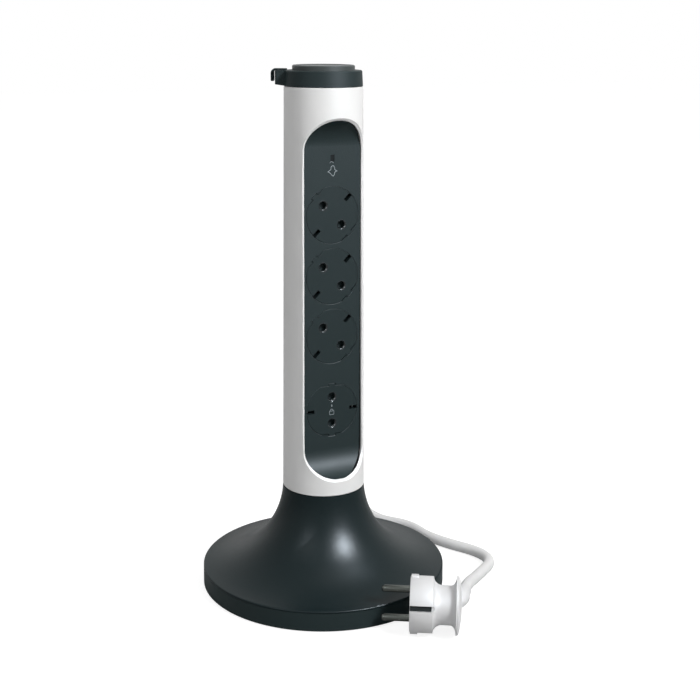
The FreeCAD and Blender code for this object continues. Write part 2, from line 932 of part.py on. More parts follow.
def socket_face():
    front = -panel_front
    plate = face_outline(0, front, face_back)
    edges = [e for e in plate.Edges if abs(e.BoundBox.YMax - front) < 1e-6]
    plate = plate.makeChamfer(face_edge, edges)
    inside = cylinder(face_flat - skirt_wall, 2 * skirt_length, V(0, face_back, 0), Y_AXIS)
    skirt = face_outline(0, face_back, skirt_back).cut(inside)
    boss = cylinder(face_boss_radius, face_boss_length, V(0, face_back, 0), Y_AXIS)
    parts = [plate, skirt, boss]
    for side in (-1, 1):
        low = shutter_half_height + touch_gap
        high = low + rail_width
        z0, z1 = sorted((side * low, side * high))
        parts.append(block((-rail_half_length, face_back, z0), (rail_half_length, rail_back, z1)))
        z0, z1 = sorted((side * (low - rail_lip), side * high))
        lip_front = shutter_back + touch_gap
        parts.append(block((-rail_half_length, lip_front, z0), (rail_half_length, rail_back, z1)))
    face = joined(parts)
    face = less(face, pin_bores(pin_hole_radius, front - 1, rail_back + 1))
    for side in (-1, 1):
        place = V(0, front, side * pin_offset)
        wide = pin_hole_radius + pin_hole_flare
        face = face.cut(Part.makeCone(wide, pin_hole_radius, pin_hole_flare, place, Y_AXIS))
    return less(face, earth_slots(0, front - 1, skirt_back + 1))


def shutter():
    front = face_back + touch_gap
    plate = block((-shutter_left, front, -shutter_half_height),
                  (shutter_right, shutter_back, shutter_half_height))
    window = block((-shutter_travel - shutter_window_half, front, -shutter_window_half),
                   (shutter_window_half, shutter_back, shutter_window_half))
    plate = plate.cut(window)
    for x in (0, -shutter_travel):
        plate = plate.common(cylinder(shutter_room, shutter_thickness, V(x, front, 0), Y_AXIS))
    for side in (-1, 1):
        place = V(-shutter_travel, front, side * pin_offset)
        plate = plate.cut(cylinder(shutter_bore, shutter_thickness, place, Y_AXIS))
    return plate


def socket_well():
    front = panel_back + touch_gap
    body = cylinder(well_outer, well_floor_back - front, V(0, front, 0), Y_AXIS)
    bore = face_outline(well_bore - face_radius, front - 1, well_floor_front)
    body = body.cut(bore)
    body = body.fuse(cylinder(pocket_outer, pocket_bottom + pocket_floor - well_floor_front,
                              V(0, well_floor_front, 0), Y_AXIS))
    body = body.cut(cylinder(pocket_radius, pocket_bottom - well_floor_front + 1,
                             V(0, well_floor_front - 1, 0), Y_AXIS))
    body = less(body, pin_bores(well_pin_hole, well_floor_front - 1, well_floor_back + 1))
    passages = earth_slots(touch_gap, well_floor_front - 1, well_floor_back + 1,
                           clip_nose_radius - clip_room_in, clip_foot_radius + clip_room_out)
    return less(body, passages)


def return_spring():
    """A closed coil between the pocket's bottom and the back of the face."""
    start_y = face_back + spring_wire / 2 + spring_play
    end_y = pocket_bottom - spring_wire / 2 - spring_play
    quarter = (end_y - start_y) / (4 * spring_turns)
    slope = quarter / (spring_mean_radius * math.pi / 2)
    stations = []
    for k in range(4 * spring_turns + 1):
        angle = k * math.pi / 2
        point = V(spring_mean_radius * math.cos(angle), start_y + quarter * k,
                  spring_mean_radius * math.sin(angle))
        heading = V(-math.sin(angle), slope, math.cos(angle)).normalize()
        stations.append((point, heading))
    path = smooth_path(stations)
    solid = swept_round(path, spring_wire / 2, stations[0][0], stations[0][1])
    gap = (end_y - start_y) / spring_turns - spring_wire
    return solid, gap


def pin_place(index, side):
    """Where a socket's pin axis meets the panel, as (x, z); side 1 is the upper pin."""
    angle = math.radians(socket_turns[index])
    return side * pin_offset * math.sin(angle), socket_heights[index] + side * pin_offset * math.cos(angle)


def contact_sleeve(x, z):
    ring = pipe(sleeve_outer, sleeve_inner, sleeve_length, V(x, busbar_back, z), Y_AXIS)
    slit = block((x - sleeve_slit, busbar_back + sleeve_root, z),
                 (x + sleeve_slit, busbar_back + sleeve_length, z + 2 * sleeve_outer))
    return ring.cut(slit)


def busbar(side):
    """A strip beside the pockets with one sleeve for each socket; side 1 takes the upper pins."""
    inner, outer = sorted((-side * busbar_inner_edge, -side * (busbar_inner_edge + busbar_width)))
    places = [pin_place(index, side) for index in range(len(socket_heights))]
    last_z = places[-1][1]
    top = post_levels[0] + bar_top_rise
    parts = [block((inner, busbar_front, bar_foot), (outer, busbar_back, top))]
    reach = sorted((-side * (busbar_inner_edge + busbar_width), side * sleeve_outer))
    parts.append(block((reach[0], busbar_front, last_z - sleeve_outer),
                       (reach[1], busbar_back, last_z + sleeve_outer)))
    for x, z in places:
        parts.append(cylinder(sleeve_outer, busbar_thickness, V(x, busbar_front, z), Y_AXIS))
        parts.append(contact_sleeve(x, z))
    bar = joined(parts)
    for x, z in places:
        bar = bar.cut(cylinder(sleeve_inner, sleeve_length, V(x, busbar_front - 1, z), Y_AXIS))
    return bar


def earth_bracket():
    """Two spring blades that stand in the face's slots, on one cross strip."""
    half = clip_width / 2
    inner = pocket_outer + earth_ring_gap
    parts = [pipe(earth_ring_outer, inner, busbar_thickness, V(0, earth_front, 0), Y_AXIS)]
    for side in (-1, 1):
        reach = clip_foot_radius + clip_thickness / 2
        near, far = sorted((side * (earth_ring_outer - clip_lap), side * reach))
        parts.append(block((near, earth_front, -half), (far, earth_back, half)))
        nodes = [
            (clip_foot_radius, earth_back),
            (clip_foot_radius - clip_knee_inset, well_floor_front - clip_knee_depth),
            (clip_nose_radius, face_back + clip_nose_depth),
            (clip_tip_radius, -panel_front + clip_tip_depth),
        ]
        parts.append(blade(nodes, side, half))
    return joined(parts)


def blade(nodes, side, half):
    """A bent strip in the XY plane, as wide as twice half."""
    offset = clip_thickness / 2
    left = [V(side * (r - offset), y, -half) for r, y in nodes]
    right = [V(side * (r + offset), y, -half) for r, y in reversed(nodes)]
    outline = left + right
    face = Part.Face(Part.makePolygon(outline + [outline[0]]))
    return face.extrude(V(0, 0, 2 * half))


def earth_brackets():
    return group([in_socket(earth_bracket(), index) for index in range(len(socket_heights))])


def earth_busbar():
    """A strip behind the pockets, led aside past the lowest socket."""
    front = earth_bar_front
    back = front + busbar_thickness
    turn_z = lowest_socket + pin_offset + sleeve_outer + earth_turn_gap
    leg_left = earth_side_x - earth_leg_half
    leg_right = earth_side_x + earth_leg_half
    tab_half = clip_width / 2
    foot_left = earth_foot_x - earth_leg_half
    foot_top = earth_bar_foot + 2 * earth_leg_half
    parts = [
        block((-earth_bar_half, front, turn_z), (earth_bar_half, back, post_levels[0] - earth_step)),
        block((-earth_bar_half, front, turn_z), (leg_right, back, turn_z + earth_step)),
        block((leg_left, front, earth_bar_foot), (leg_right, back, turn_z + earth_step)),
        block((foot_left, front, earth_bar_foot), (earth_side_x, back, foot_top)),
        block((earth_side_x - earth_tab_reach, earth_back, lowest_socket - tab_half),
              (earth_side_x + earth_tab_reach, front, lowest_socket + tab_half)),
    ]
    tab_z = (pocket_outer + earth_ring_gap + earth_ring_outer) / 2
    for height in socket_heights[:-1]:
        low = height + tab_z - earth_tab_half
        parts.append(block((-earth_tab_reach, earth_back, low),
                           (earth_tab_reach, front, low + 2 * earth_tab_half)))
    return joined(parts)


def contact_cover():
    """The insulating half tube behind the contacts, with ears and end lugs for its screws."""
    height = cover_top - cover_bottom
    wide = cover_outer + 1
    shell = pipe(cover_outer, cover_outer - cover_wall, height, V(0, 0, cover_bottom))
    behind = block((-wide, ear_front, cover_bottom), (wide, wide, cover_top))
    parts = [shell.common(behind)]
    room = cylinder(cover_outer - cover_wall / 2, height, V(0, 0, cover_bottom))
    for level in post_levels:
        for side in (-1, 1):
            x = side * strip_screw_x
            ear = cylinder(post_radius, ear_thickness, V(x, ear_front, level), Y_AXIS)
            near, far = sorted((x, side * cover_outer))
            web = block((near, ear_front, level - post_radius),
                        (far, ear_front + ear_thickness, level + post_radius))
            parts.append(ear.fuse(web).common(room))
    for side in (-1, 1):
        near, far = sorted((side * (end_screw_x - cover_lug_half), side * (end_screw_x + cover_lug_half)))
        foot = block((near, cover_lug_front, cover_bottom),
                     (far, cover_outer, cover_bottom + cover_lug_length))
        parts.append(foot.common(room))
        head = block((near, cover_lug_front, cover_top - cover_lug_length), (far, cover_outer, cover_top))
        parts.append(head.common(room))
        tower = block((near, cover_lug_front, cover_top - 1), (far, cover_lug_back, ring_plate - touch_gap))
        parts.append(tower)
    cover = joined(parts)
    for level in post_levels:
        for x in (-strip_screw_x, strip_screw_x):
            cover = cover.cut(cylinder(screw_hole, ear_thickness, V(x, ear_front, level), Y_AXIS))
            seat = V(x, ear_front + ear_thickness, level)
            cover = cover.cut(cylinder(screw_head_radius + slide_gap, cover_outer, seat, Y_AXIS))
    for x in (-end_screw_x, end_screw_x):
        cover = cover.cut(cylinder(screw_shank, end_screw_length, V(x, end_screw_y, cover_bottom)))
        top = V(x, end_screw_y, ring_plate - touch_gap)
        cover = cover.cut(cylinder(screw_shank, end_screw_length, top, V(0, 0, -1)))
    return cover.removeSplitter()


def strip_screws():
    start = ear_front + ear_thickness + screw_head_height
    screws = []
    for level in post_levels:
        for x in (-strip_screw_x, strip_screw_x):
            screws.append(screw(V(x, start, level), strip_screw_length, V(0, -1, 0)))
    return group(screws)


# Surge protection


def surge_board():
    y = panel_back + board_gap
    low = (-board_half_width, y, board_bottom)
    board = block(low, (board_half_width, y + board_thickness, board_bottom + board_height))
    for x in (-board_post_x, board_post_x):
        board = board.cut(cylinder(screw_hole, board_thickness, V(x, y, board_post_height), Y_AXIS))
    return board


def board_screws():
    screws = []
    for x in (-board_post_x, board_post_x):
        tip = V(x, board_back() + screw_head_height, board_post_height)
        screws.append(screw(tip, board_screw_length, V(0, -1, 0)))
    return group(screws)


def board_back():
    return panel_back + board_gap + board_thickness


def varistors():
    discs = []
    height = board_bottom + board_height - varistor_radius - varistor_edge_gap
    for x in (-varistor_spacing, 0, varistor_spacing):
        place = V(x, board_back(), height)
        discs.append(cylinder(varistor_radius, varistor_thickness, place, Y_AXIS))
    return group(discs)


def thermal_fuse():
    y = board_back() + fuse_radius
    return cylinder(fuse_radius, fuse_length, V(-fuse_length / 2, y, board_bottom + fuse_rise), X_AXIS)


def indicator_lamp():
    y = panel_back + board_gap
    length = board_gap - window_flange - lamp_gap
    body = cylinder(lamp_radius, length - lamp_radius, V(0, y, window_height), V(0, -1, 0))
    dome = Part.makeSphere(lamp_radius, V(0, y - length + lamp_radius, window_height))
    return body.fuse(dome).removeSplitter()


# Top


def top_ring():
    skirt_outer = column_top_radius - column_wall - slide_gap
    skirt_inner = skirt_outer - ring_skirt_wall
    skirt_foot = column_top_height - ring_skirt
    seat = column_top_height + seam
    hole = disc_spigot_radius + touch_gap
    ring = turned([
        (ring_foot_radius, seat), (ring_top_radius, ring_top_height - ring_edge),
        (ring_top_radius - ring_edge, ring_top_height), (hole, ring_top_height), (hole, ring_plate),
        (skirt_inner, ring_plate), (skirt_inner, skirt_foot), (skirt_outer, skirt_foot), (skirt_outer, seat),
    ])
    lug_root = (skirt_outer + ring_top_radius) / 2
    lug_top = ring_top_height - lug_drop
    side = [
        V(lug_root, 0, seat), V(ring_foot_radius, 0, seat), V(lug_reach, 0, seat + lug_rise),
        V(lug_reach, 0, lug_top), V(lug_root, 0, lug_top), V(lug_root, 0, seat),
    ]
    lug = Part.Face(Part.makePolygon(side)).extrude(V(0, lug_width, 0))
    lug.translate(V(0, -lug_width / 2, 0))
    lug.rotate(ORIGIN, Z_AXIS, lug_direction)
    ring = ring.fuse(lug).removeSplitter()
    for x in (-end_screw_x, end_screw_x):
        ring = ring.cut(cylinder(screw_hole, ring_height, V(x, end_screw_y, column_top_height)))
        seat_top = V(x, end_screw_y, ring_top_height - screw_head_height - touch_gap)
        ring = ring.cut(cylinder(screw_head_radius + slide_gap, ring_wall, seat_top))
    corners = [e for e in ring.Edges if is_lug_corner(e)]
    return ring.makeFillet(lug_round, corners)


def is_lug_corner(edge):
    """Upright edges at the lug's outer end."""
    if len(edge.Vertexes) != 2:
        return False
    a, b = (v.Point for v in edge.Vertexes)
    upright = abs(a.x - b.x) < 1e-6 and abs(a.y - b.y) < 1e-6 and abs(a.z - b.z) > 2
    return upright and math.hypot(a.x, a.y) > lug_reach - 0.5


def top_disc():
    top = ring_top_height + disc_height
    dish = top - disc_dish
    disc = turned([
        (0, ring_top_height), (disc_radius, ring_top_height), (disc_radius, top - disc_edge),
        (disc_radius - disc_edge, top), (disc_radius - disc_rim, top),
        (disc_radius - disc_rim - disc_slope, dish), (0, dish),
    ])
    spigot = cylinder(disc_spigot_radius, disc_spigot_length, V(0, 0, ring_top_height - disc_spigot_length))
    return disc.fuse(spigot).removeSplitter()


def cable_hook():
    """A thin strap that springs from the ring's top, arches over the lug and hangs past its end."""
    inner_x = lug_reach + hook_gap
    outer_x = inner_x + hook_thickness
    top = ring_top_height + hook_rise
    foot_x = ring_top_radius - hook_foot_inset
    low = top - hook_drop
    bend = hook_thickness + hook_bend
    inset = bend * arc_inset
    half = hook_width / 2
    under = ring_top_height
    outline = [
        Part.makeLine(V(foot_x, -half, under), V(foot_x, -half, top)),
        Part.makeLine(V(foot_x, -half, top), V(outer_x - bend, -half, top)),
        Part.Arc(V(outer_x - bend, -half, top),
                 V(outer_x - inset, -half, top - inset), V(outer_x, -half, top - bend)).toShape(),
        Part.makeLine(V(outer_x, -half, top - bend), V(outer_x, -half, low)),
        Part.makeLine(V(outer_x, -half, low), V(inner_x, -half, low)),
        Part.makeLine(V(inner_x, -half, low), V(inner_x, -half, under)),
        Part.makeLine(V(inner_x, -half, under), V(foot_x, -half, under)),
    ]
    strap = Part.Face(Part.Wire(outline)).extrude(V(0, hook_width, 0))
    strap.rotate(ORIGIN, Z_AXIS, lug_direction)
    return strap


# Fasteners at the column's ends


def foot_screws():
    """Screws up through the deck into the cover's lower lugs."""
    start = deck_top - deck_thickness - screw_head_height
    places = [V(x, end_screw_y, start) for x in (-end_screw_x, end_screw_x)]
    return group([screw(place, end_screw_length, Z_AXIS) for place in places])


def cap_screws():
    """Screws down through the ring into the cover's upper lugs."""
    start = ring_top_height - touch_gap
    places = [V(x, end_screw_y, start) for x in (-end_screw_x, end_screw_x)]
    return group([screw(place, end_screw_length, V(0, 0, -1)) for place in places])


# Cord


def cord_gland():
    outward = gland_axis()
    neck_start = outward * gland_inner + V(0, 0, gland_height)
    neck = cylinder(gland_neck, base_radius - gland_inner, neck_start, outward)
    flange = block((gland_inner, -gland_plate_half, tray_floor_top + touch_gap),
                   (gland_inner + gland_plate_thickness, gland_plate_half, gland_plate_top))
    flange.rotate(ORIGIN, Z_AXIS, hank_turn)
    sleeve_start = outward * (base_radius + gland_stand_off) + V(0, 0, gland_height)
    sleeve = Part.makeCone(gland_sleeve_radius, gland_sleeve_end, gland_sleeve_length, sleeve_start, outward)
    collar_start = outward * (base_radius - gland_lap) + V(0, 0, gland_height)
    collar = cylinder(gland_neck, gland_collar, collar_start, outward)
    return joined([neck, flange, collar, sleeve])


def cord_tail():
    """The cord's end inside the base, through the clamp."""
    start = hank_point(gland_inner, 0, gland_height)
    return cylinder(cord_radius, gland_inner - tail_reach, start, hank_heading(-1, 0))


def cord_clamp():
    """A saddle screwed over the cord."""
    low = (clamp_reach - clamp_length / 2, -clamp_half_width, gland_height)
    high = (clamp_reach + clamp_length / 2, clamp_half_width, gland_height + clamp_height)
    saddle = block(low, high)
    saddle.rotate(ORIGIN, Z_AXIS, hank_turn)
    start = hank_point(clamp_reach - clamp_length, 0, gland_height)
    saddle = saddle.cut(cylinder(cord_radius, 2 * clamp_length, start, hank_heading(1, 0)))
    for place in clamp_screw_places():
        saddle = saddle.cut(cylinder(screw_hole, clamp_height, place + V(0, 0, gland_height)))
    return saddle


def clamp_screw_places():
    return [hank_point(clamp_reach, side * clamp_screw_offset, 0) for side in (-1, 1)]


def clamp_screws():
    top = V(0, 0, gland_height + clamp_height + screw_head_height)
    length = clamp_height + clamp_screw_grip
    return group([screw(place + top, length, V(0, 0, -1)) for place in clamp_screw_places()])


def inner_wire(name, places):
    """One inner wire through its places, from the cord's end to a bar's foot."""
    path, radii = rounded_route(places)
    print(name, "bend radii", [round(r, 1) for r in radii])
    return swept_round(path, wire_radius, places[0], (places[1] - places[0]).normalize())


def tail_wire_places(side, lift):
    """Where an inner wire leaves the cord's end, and where it may first bend."""
    height = gland_height + lift
    return [hank_point(tail_reach, side, height), hank_point(tail_reach - wire_straight, side, height)]


def swung_places(deck_x, bends, rises):
    """The bends of an inner wire on its way from the cord's end to the hole in the deck."""
    places = []
    for swing, bend, rise in zip(wire_swing, bends, rises):
        places.append(V(deck_x + swing * tail_reach, bend * tail_reach, deck_top + rise))
    return places


def phase_wire(name, side):
    """The live wire on the left, side -1, or the neutral wire on the right, side 1."""
    bar_x = side * (busbar_inner_edge + busbar_width / 2)
    bar_y = (busbar_front + busbar_back) / 2
    deck_x = side * wire_deck_spread
    places = tail_wire_places(side * wire_spread, 0) + swung_places(deck_x, phase_bends, phase_rises)
    places += [V(deck_x, cable_hole_depth, deck_top + rise) for rise in phase_rises[2:]]
    return inner_wire(name, places + [V(bar_x, bar_y, bar_foot - wire_foot), V(bar_x, bar_y, bar_foot)])


def earth_wire():
    bar_y = earth_bar_front + busbar_thickness / 2
    deck_y = cable_hole_depth + earth_deck_shift
    places = tail_wire_places(0, wire_lift) + swung_places(0, earth_bends, earth_rises)
    places += [V(0, deck_y, deck_top + rise) for rise in earth_rises[2:]]
    foot = V(earth_foot_x, bar_y, earth_bar_foot)
    return inner_wire("earth_wire", places + [foot - Z_AXIS * wire_foot, foot])


def lead_stations():
    """From the gland's sleeve to the hank's first run."""
    ahead = hank_heading(1, 0)
    return [
        (hank_point(gland_end, 0, gland_height), ahead),
        (hank_point(gland_end + lead_straight, 0, gland_height), ahead),
        (hank_point(hank_near - lead_reach, -lead_side, cord_low), ahead),
        (hank_point(hank_near - lead_level, -lead_side, cord_low), ahead),
    ]


def hank_stations():
    """The loops: folds of one radius, runs drawn in at the waist, each climb along a right-hand run."""
    slope = hank_pitch / hank_run
    stations = [
        lead_stations()[-1],
        (hank_point(hank_near - lead_last, -lead_side, cord_low), hank_heading(1, 0)),
        (hank_point(hank_middle, -hank_waist, cord_low), hank_heading(1, 0)),
    ]
    for loop in range(hank_loops):
        level = cord_low + loop * hank_pitch
        above = level + hank_pitch
        stations += [
            (hank_point(hank_far, -hank_fold, level), hank_heading(1, 0)),
            (hank_point(hank_far + hank_fold, 0, level), hank_heading(0, 1)),
            (hank_point(hank_far, hank_fold, level), hank_heading(-1, 0)),
            (hank_point(hank_middle, hank_waist, (level + above) / 2), hank_heading(-1, 0, 1.5 * slope)),
            (hank_point(hank_near, hank_fold, above), hank_heading(-1, 0)),
        ]
        if loop < hank_loops - 1:
            stations += [
                (hank_point(hank_near - hank_fold, 0, above), hank_heading(0, -1)),
                (hank_point(hank_near, -hank_fold, above), hank_heading(1, 0)),
                (hank_point(hank_middle, -hank_waist, above), hank_heading(1, 0)),
            ]
    stations.append((hank_point(hank_near - exit_reach, hank_fold, hank_top), hank_heading(-1, 0)))
    return stations


def cord_route():
    """Points of the free cord, from the hank to the plug, chosen along the photographed line."""
    exit_along = hank_near - exit_reach
    start, heading = sleeve_frame()
    points = [
        hank_point(exit_along, hank_fold, hank_top),
        hank_point(exit_along - exit_straight, hank_fold, hank_top),
    ]
    points += [rim_point(beyond, direction, cord_low + rise) for beyond, direction, rise in free_cord]
    points.append(start + heading * (plug_sleeve_length + plug_straight))
    points.append(start + heading * plug_sleeve_length)
    return points


def least_self_gap(stations, diameter):
    """The least gap between stretches of a path that are more than a few diameters apart along it."""
    path = smooth_path(stations)
    step = 2.0
    count = int(path.Length / step)
    points = path.discretize(Number=count)
    spacing = path.Length / (count - 1)
    apart = int(5 * diameter / spacing)
    least = 1e9
    for i in range(0, count):
        for j in range(i + apart, count):
            distance = (points[i] - points[j]).Length
            least = min(least, distance)
    return least - diameter


def hank_tie():
    """A band round the waist, open inside for the strands."""
    half = hank_waist + cord_radius + tie_gap
    low = floor_gap / 2
    top = cord_low + (hank_loops - 0.5) * hank_pitch + cord_radius + tie_top_gap
    reach = half + tie_thickness
    outer = block((hank_middle - tie_width / 2, -reach, low),
                  (hank_middle + tie_width / 2, reach, top + tie_thickness))
    edges = [e for e in outer.Edges if abs(e.BoundBox.XLength - tie_width) < 1e-6]
    outer = outer.makeFillet(tie_round + tie_thickness, edges)
    inner = block((hank_middle - tie_width, -half, low), (hank_middle + tie_width, half, top))
    edges = []
    for e in inner.Edges:
        if abs(e.BoundBox.XLength - 2 * tie_width) < 1e-6 and e.BoundBox.ZMin > top - 1:
            edges.append(e)
    band = outer.cut(inner.makeFillet(tie_round, edges))
    band.rotate(ORIGIN, Z_AXIS, hank_turn)
    return band


# Plug, drawn along +X from the front face's centre


def plug_to_place(shape):
    """Turn and carry a plug piece to where it lies."""
    copy = shape.copy()
    copy.rotate(ORIGIN, X_AXIS, plug_roll)
    copy.rotate(ORIGIN, Z_AXIS, plug_turn - view_turn)
    copy.translate(plug_front())
    return copy


def plug_front():
    """Centre of the plug's front face where it lies."""
    place = polar(plug_distance, plug_direction)
    return seen_point(place.x, place.y, flange_radius)


def is_waist_end(edge):
    """Edges where the waist meets the front and the flange."""
    box = edge.BoundBox
    at_end = abs(box.XMin - plug_body_length) < 0.01 or abs(box.XMin - flange_front) < 0.01
    return box.XLength < 1e-4 and at_end and box.ZLength < 2 * waist_half_height + 1


def is_flange_rim(edge):
    box = edge.BoundBox
    return box.XLength < 1e-4 and abs(box.XMin - plug_rear) < 0.01


def plug_ribs():
    """Grip ribs on the front's upper and lower sides."""
    half = plug_rib_width / 2
    ribs = block((0, -half, -flange_radius), (plug_rib_length, half, flange_radius))
    ring = pipe(flange_radius, plug_radius - plug_rib, plug_rib_length, ORIGIN, X_AXIS)
    return ribs.common(ring)


def plug_body():
    front = cylinder(plug_radius, plug_body_length, ORIGIN, X_AXIS)
    ellipse = Part.Ellipse(V(0, waist_half_depth, 0), V(0, 0, waist_half_height), ORIGIN)
    waist = Part.Face(Part.Wire([ellipse.toShape()])).extrude(V(waist_length + 2 * plug_lap, 0, 0))
    waist.translate(V(plug_body_length - plug_lap, 0, 0))
    flange = cylinder(flange_radius, flange_thickness, V(flange_front, 0, 0), X_AXIS)
    body = joined([front, waist, flange])
    body = body.makeFillet(waist_fillet, [e for e in body.Edges if is_waist_end(e)])
    body = body.makeFillet(flange_round, [e for e in body.Edges if is_flange_rim(e)])
    body = body.fuse(plug_ribs())
    for side in (-1, 1):
        low, high = sorted((side * (plug_radius - earth_slot_depth), side * 2 * plug_radius))
        half = earth_slot_height / 2
        slot = block((-1, low, -half), (earth_slot_length - half, high, half))
        end = cylinder(half, high - low, V(earth_slot_length - half, low, 0), Y_AXIS)
        body = body.cut(slot).cut(end)
        body = body.cut(cylinder(pin_radius, pin_root, V(0, 0, side * pin_offset), X_AXIS))
    body = body.cut(cylinder(earth_hole_radius, earth_hole_depth, V(0, earth_hole_offset, 0), X_AXIS))
    return body.removeSplitter()


def plug_pins():
    pins = []
    tip_length = pin_radius * pin_tip_share
    for side in (-1, 1):
        tip_place = V(-pin_length, 0, side * pin_offset)
        tip = Part.makeCone(pin_radius * pin_tip_share, pin_radius, tip_length, tip_place, X_AXIS)
        length = pin_length + pin_root - tip_length
        pin = cylinder(pin_radius, length, tip_place + X_AXIS * tip_length, X_AXIS)
        pins.append(pin.fuse(tip).removeSplitter())
    return group(pins)


def plug_earth_contacts():
    strips = []
    inner = plug_radius - earth_slot_depth
    half = earth_slot_height / 2 - earth_strip_side
    for side in (-1, 1):
        low, high = sorted((side * inner, side * (inner + earth_strip)))
        strips.append(block((earth_strip_start, low, -half),
                            (earth_slot_length - earth_strip_end, high, half)))
    return group(strips)


def sleeve_frame():
    """Start and heading of the sleeve that leaves the plug's rear sideways."""
    turn = math.radians(plug_turn)
    reach = plug_rear - plug_sleeve_sink
    start = plug_front() + seen_point(reach * math.cos(turn), reach * math.sin(turn), 0)
    aim = polar(1, plug_sleeve_turn, -math.tan(math.radians(plug_sleeve_dip)))
    return start, seen_point(aim.x, aim.y, aim.z).normalize()


def plug_sleeve():
    start, heading = sleeve_frame()
    cone = Part.makeCone(plug_sleeve_radius, plug_sleeve_end, plug_sleeve_length, start, heading)
    hub = Part.makeSphere(plug_sleeve_radius, start)
    plug_room = plug_to_place(cylinder(flange_radius, plug_rear, ORIGIN, X_AXIS))
    return cone.fuse(hub).cut(plug_room).removeSplitter()


def build():
    """All nodes by name."""
    nodes = {
        "base_shell": base_shell(),
        "base_tray": base_tray(),
        "base_weight": base_weight(),
        "rubber_feet": rubber_feet(),
        "base_screws": base_screws(),
        "column_shell": column_shell(),
        "socket_panel": socket_panel(),
        "indicator_window": indicator_window(),
        "indicator_lamp": indicator_lamp(),
        "surge_board": surge_board(),
        "varistors": varistors(),
        "board_screws": board_screws(),
        "thermal_fuse": thermal_fuse(),
        "live_busbar": busbar(1),
        "neutral_busbar": busbar(-1),
        "earth_brackets": earth_brackets(),
        "earth_busbar": earth_busbar(),
        "contact_cover": contact_cover(),
        "strip_screws": strip_screws(),
        "top_ring": top_ring(),
        "top_disc": top_disc(),
        "cable_hook": cable_hook(),
        "foot_screws": foot_screws(),
        "cap_screws": cap_screws(),
        "cord_gland": cord_gland(),
        "cord_tail": cord_tail(),
        "cord_clamp": cord_clamp(),
        "clamp_screws": clamp_screws(),
        "hank_tie": hank_tie(),
        "plug_body": plug_to_place(plug_body()),
        "plug_pins": plug_to_place(plug_pins()),
        "plug_earth_contacts": plug_to_place(plug_earth_contacts()),
        "plug_sleeve": plug_sleeve(),
    }
    spring, spring_gap = return_spring()
    print("spring gap", round(spring_gap, 2))
    for index in range(len(socket_heights)):
        number = str(index + 1)
        nodes["socket_face_" + number] = in_socket(socket_face(), index)
        nodes["shutter_" + number] = in_socket(shutter(), index)
        nodes["socket_well_" + number] = in_socket(socket_well(), index)
        nodes["return_spring_" + number] = in_socket(spring, index)
    nodes["live_wire"] = phase_wire("live_wire", -1)
    nodes["neutral_wire"] = phase_wire("neutral_wire", 1)
    nodes["earth_wire"] = earth_wire()
    lead = smooth_path(lead_stations())
    nodes["cord_lead"] = swept_round(lead, cord_radius, *lead_stations()[0])
    report_tube("cord_lead", nodes["cord_lead"], lead, cord_radius)
    hank = smooth_path(hank_stations())
    nodes["cord_hank"] = swept_round(hank, cord_radius, *hank_stations()[0])
    report_tube("cord_hank", nodes["cord_hank"], hank, cord_radius)
    print("hank least self gap", round(least_self_gap(hank_stations(), 2 * cord_radius), 2))
    route = cord_route()
    run, radii = rounded_route(route)
    nodes["cord_run"] = swept_round(run, cord_radius, route[0], (route[1] - route[0]).normalize())
    report_tube("cord_run", nodes["cord_run"], run, cord_radius)
    print("cord bend radii", [round(r, 1) for r in radii])
    print("cord length from gland to plug", round(lead.Length + hank.Length + run.Length, 1))
    return nodes


os.makedirs("parts", exist_ok=True)
for name, shape in build().items():
    shape.exportStep("parts/" + name + ".step")
    print(name, "solids", len(shape.Solids), "valid", shape.isValid(), "volume", round(shape.Volume, 1))
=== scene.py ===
"""Socket tower in a studio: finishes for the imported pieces, the mains cord and the small surface details."""
import json
import logging
import math
from dataclasses import dataclass, field
from enum import Enum
from typing import Callable, Sequence

import bpy
from mathutils import Matrix, Vector


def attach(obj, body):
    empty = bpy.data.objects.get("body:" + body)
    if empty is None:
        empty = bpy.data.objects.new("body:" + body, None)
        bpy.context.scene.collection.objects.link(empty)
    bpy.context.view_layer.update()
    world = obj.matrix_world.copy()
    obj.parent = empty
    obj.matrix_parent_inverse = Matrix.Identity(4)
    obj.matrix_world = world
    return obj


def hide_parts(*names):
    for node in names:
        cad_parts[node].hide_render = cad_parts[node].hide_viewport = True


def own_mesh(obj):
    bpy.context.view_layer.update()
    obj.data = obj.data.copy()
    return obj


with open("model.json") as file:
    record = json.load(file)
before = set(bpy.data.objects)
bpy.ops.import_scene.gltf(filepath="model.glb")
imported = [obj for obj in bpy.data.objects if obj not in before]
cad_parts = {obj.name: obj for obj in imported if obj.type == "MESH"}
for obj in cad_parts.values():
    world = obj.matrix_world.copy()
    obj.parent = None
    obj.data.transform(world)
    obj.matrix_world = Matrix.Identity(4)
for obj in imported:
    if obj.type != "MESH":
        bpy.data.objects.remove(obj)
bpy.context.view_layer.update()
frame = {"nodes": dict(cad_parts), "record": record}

LOG = logging.getLogger("socket_tower")
Point = tuple[float, float, float]
Color = tuple[float, float, float]
Outline = Sequence[tuple[float, float]]
Piece = bpy.types.Object
Node = bpy.types.Node
Output = bpy.types.NodeSocket
Outputs = bpy.types.NodeOutputs

HERE = Matrix.Identity(4)
# Corners nearer than this are one, in metres
TOUCHING = 0.00001
# A face looks along an axis when its normal has this share there
FACING = 0.99
# Turns in degrees, seen from above: the camera's against the panel, and the hank's line from +X
VIEW_TURN = 25.97
HANK_TURN = 65.28


class Body(Enum):
    """The bodies that a piece can ride on."""

    TOWER = "tower"
    FACE_1 = "face_1"
    FACE_2 = "face_2"
    FACE_3 = "face_3"
    FACE_4 = "face_4"


class Metal(Enum):
    """How a metal's surface was worked."""

    PLATED = "plated"
    DRAWN = "drawn"
    PAINTED = "painted"


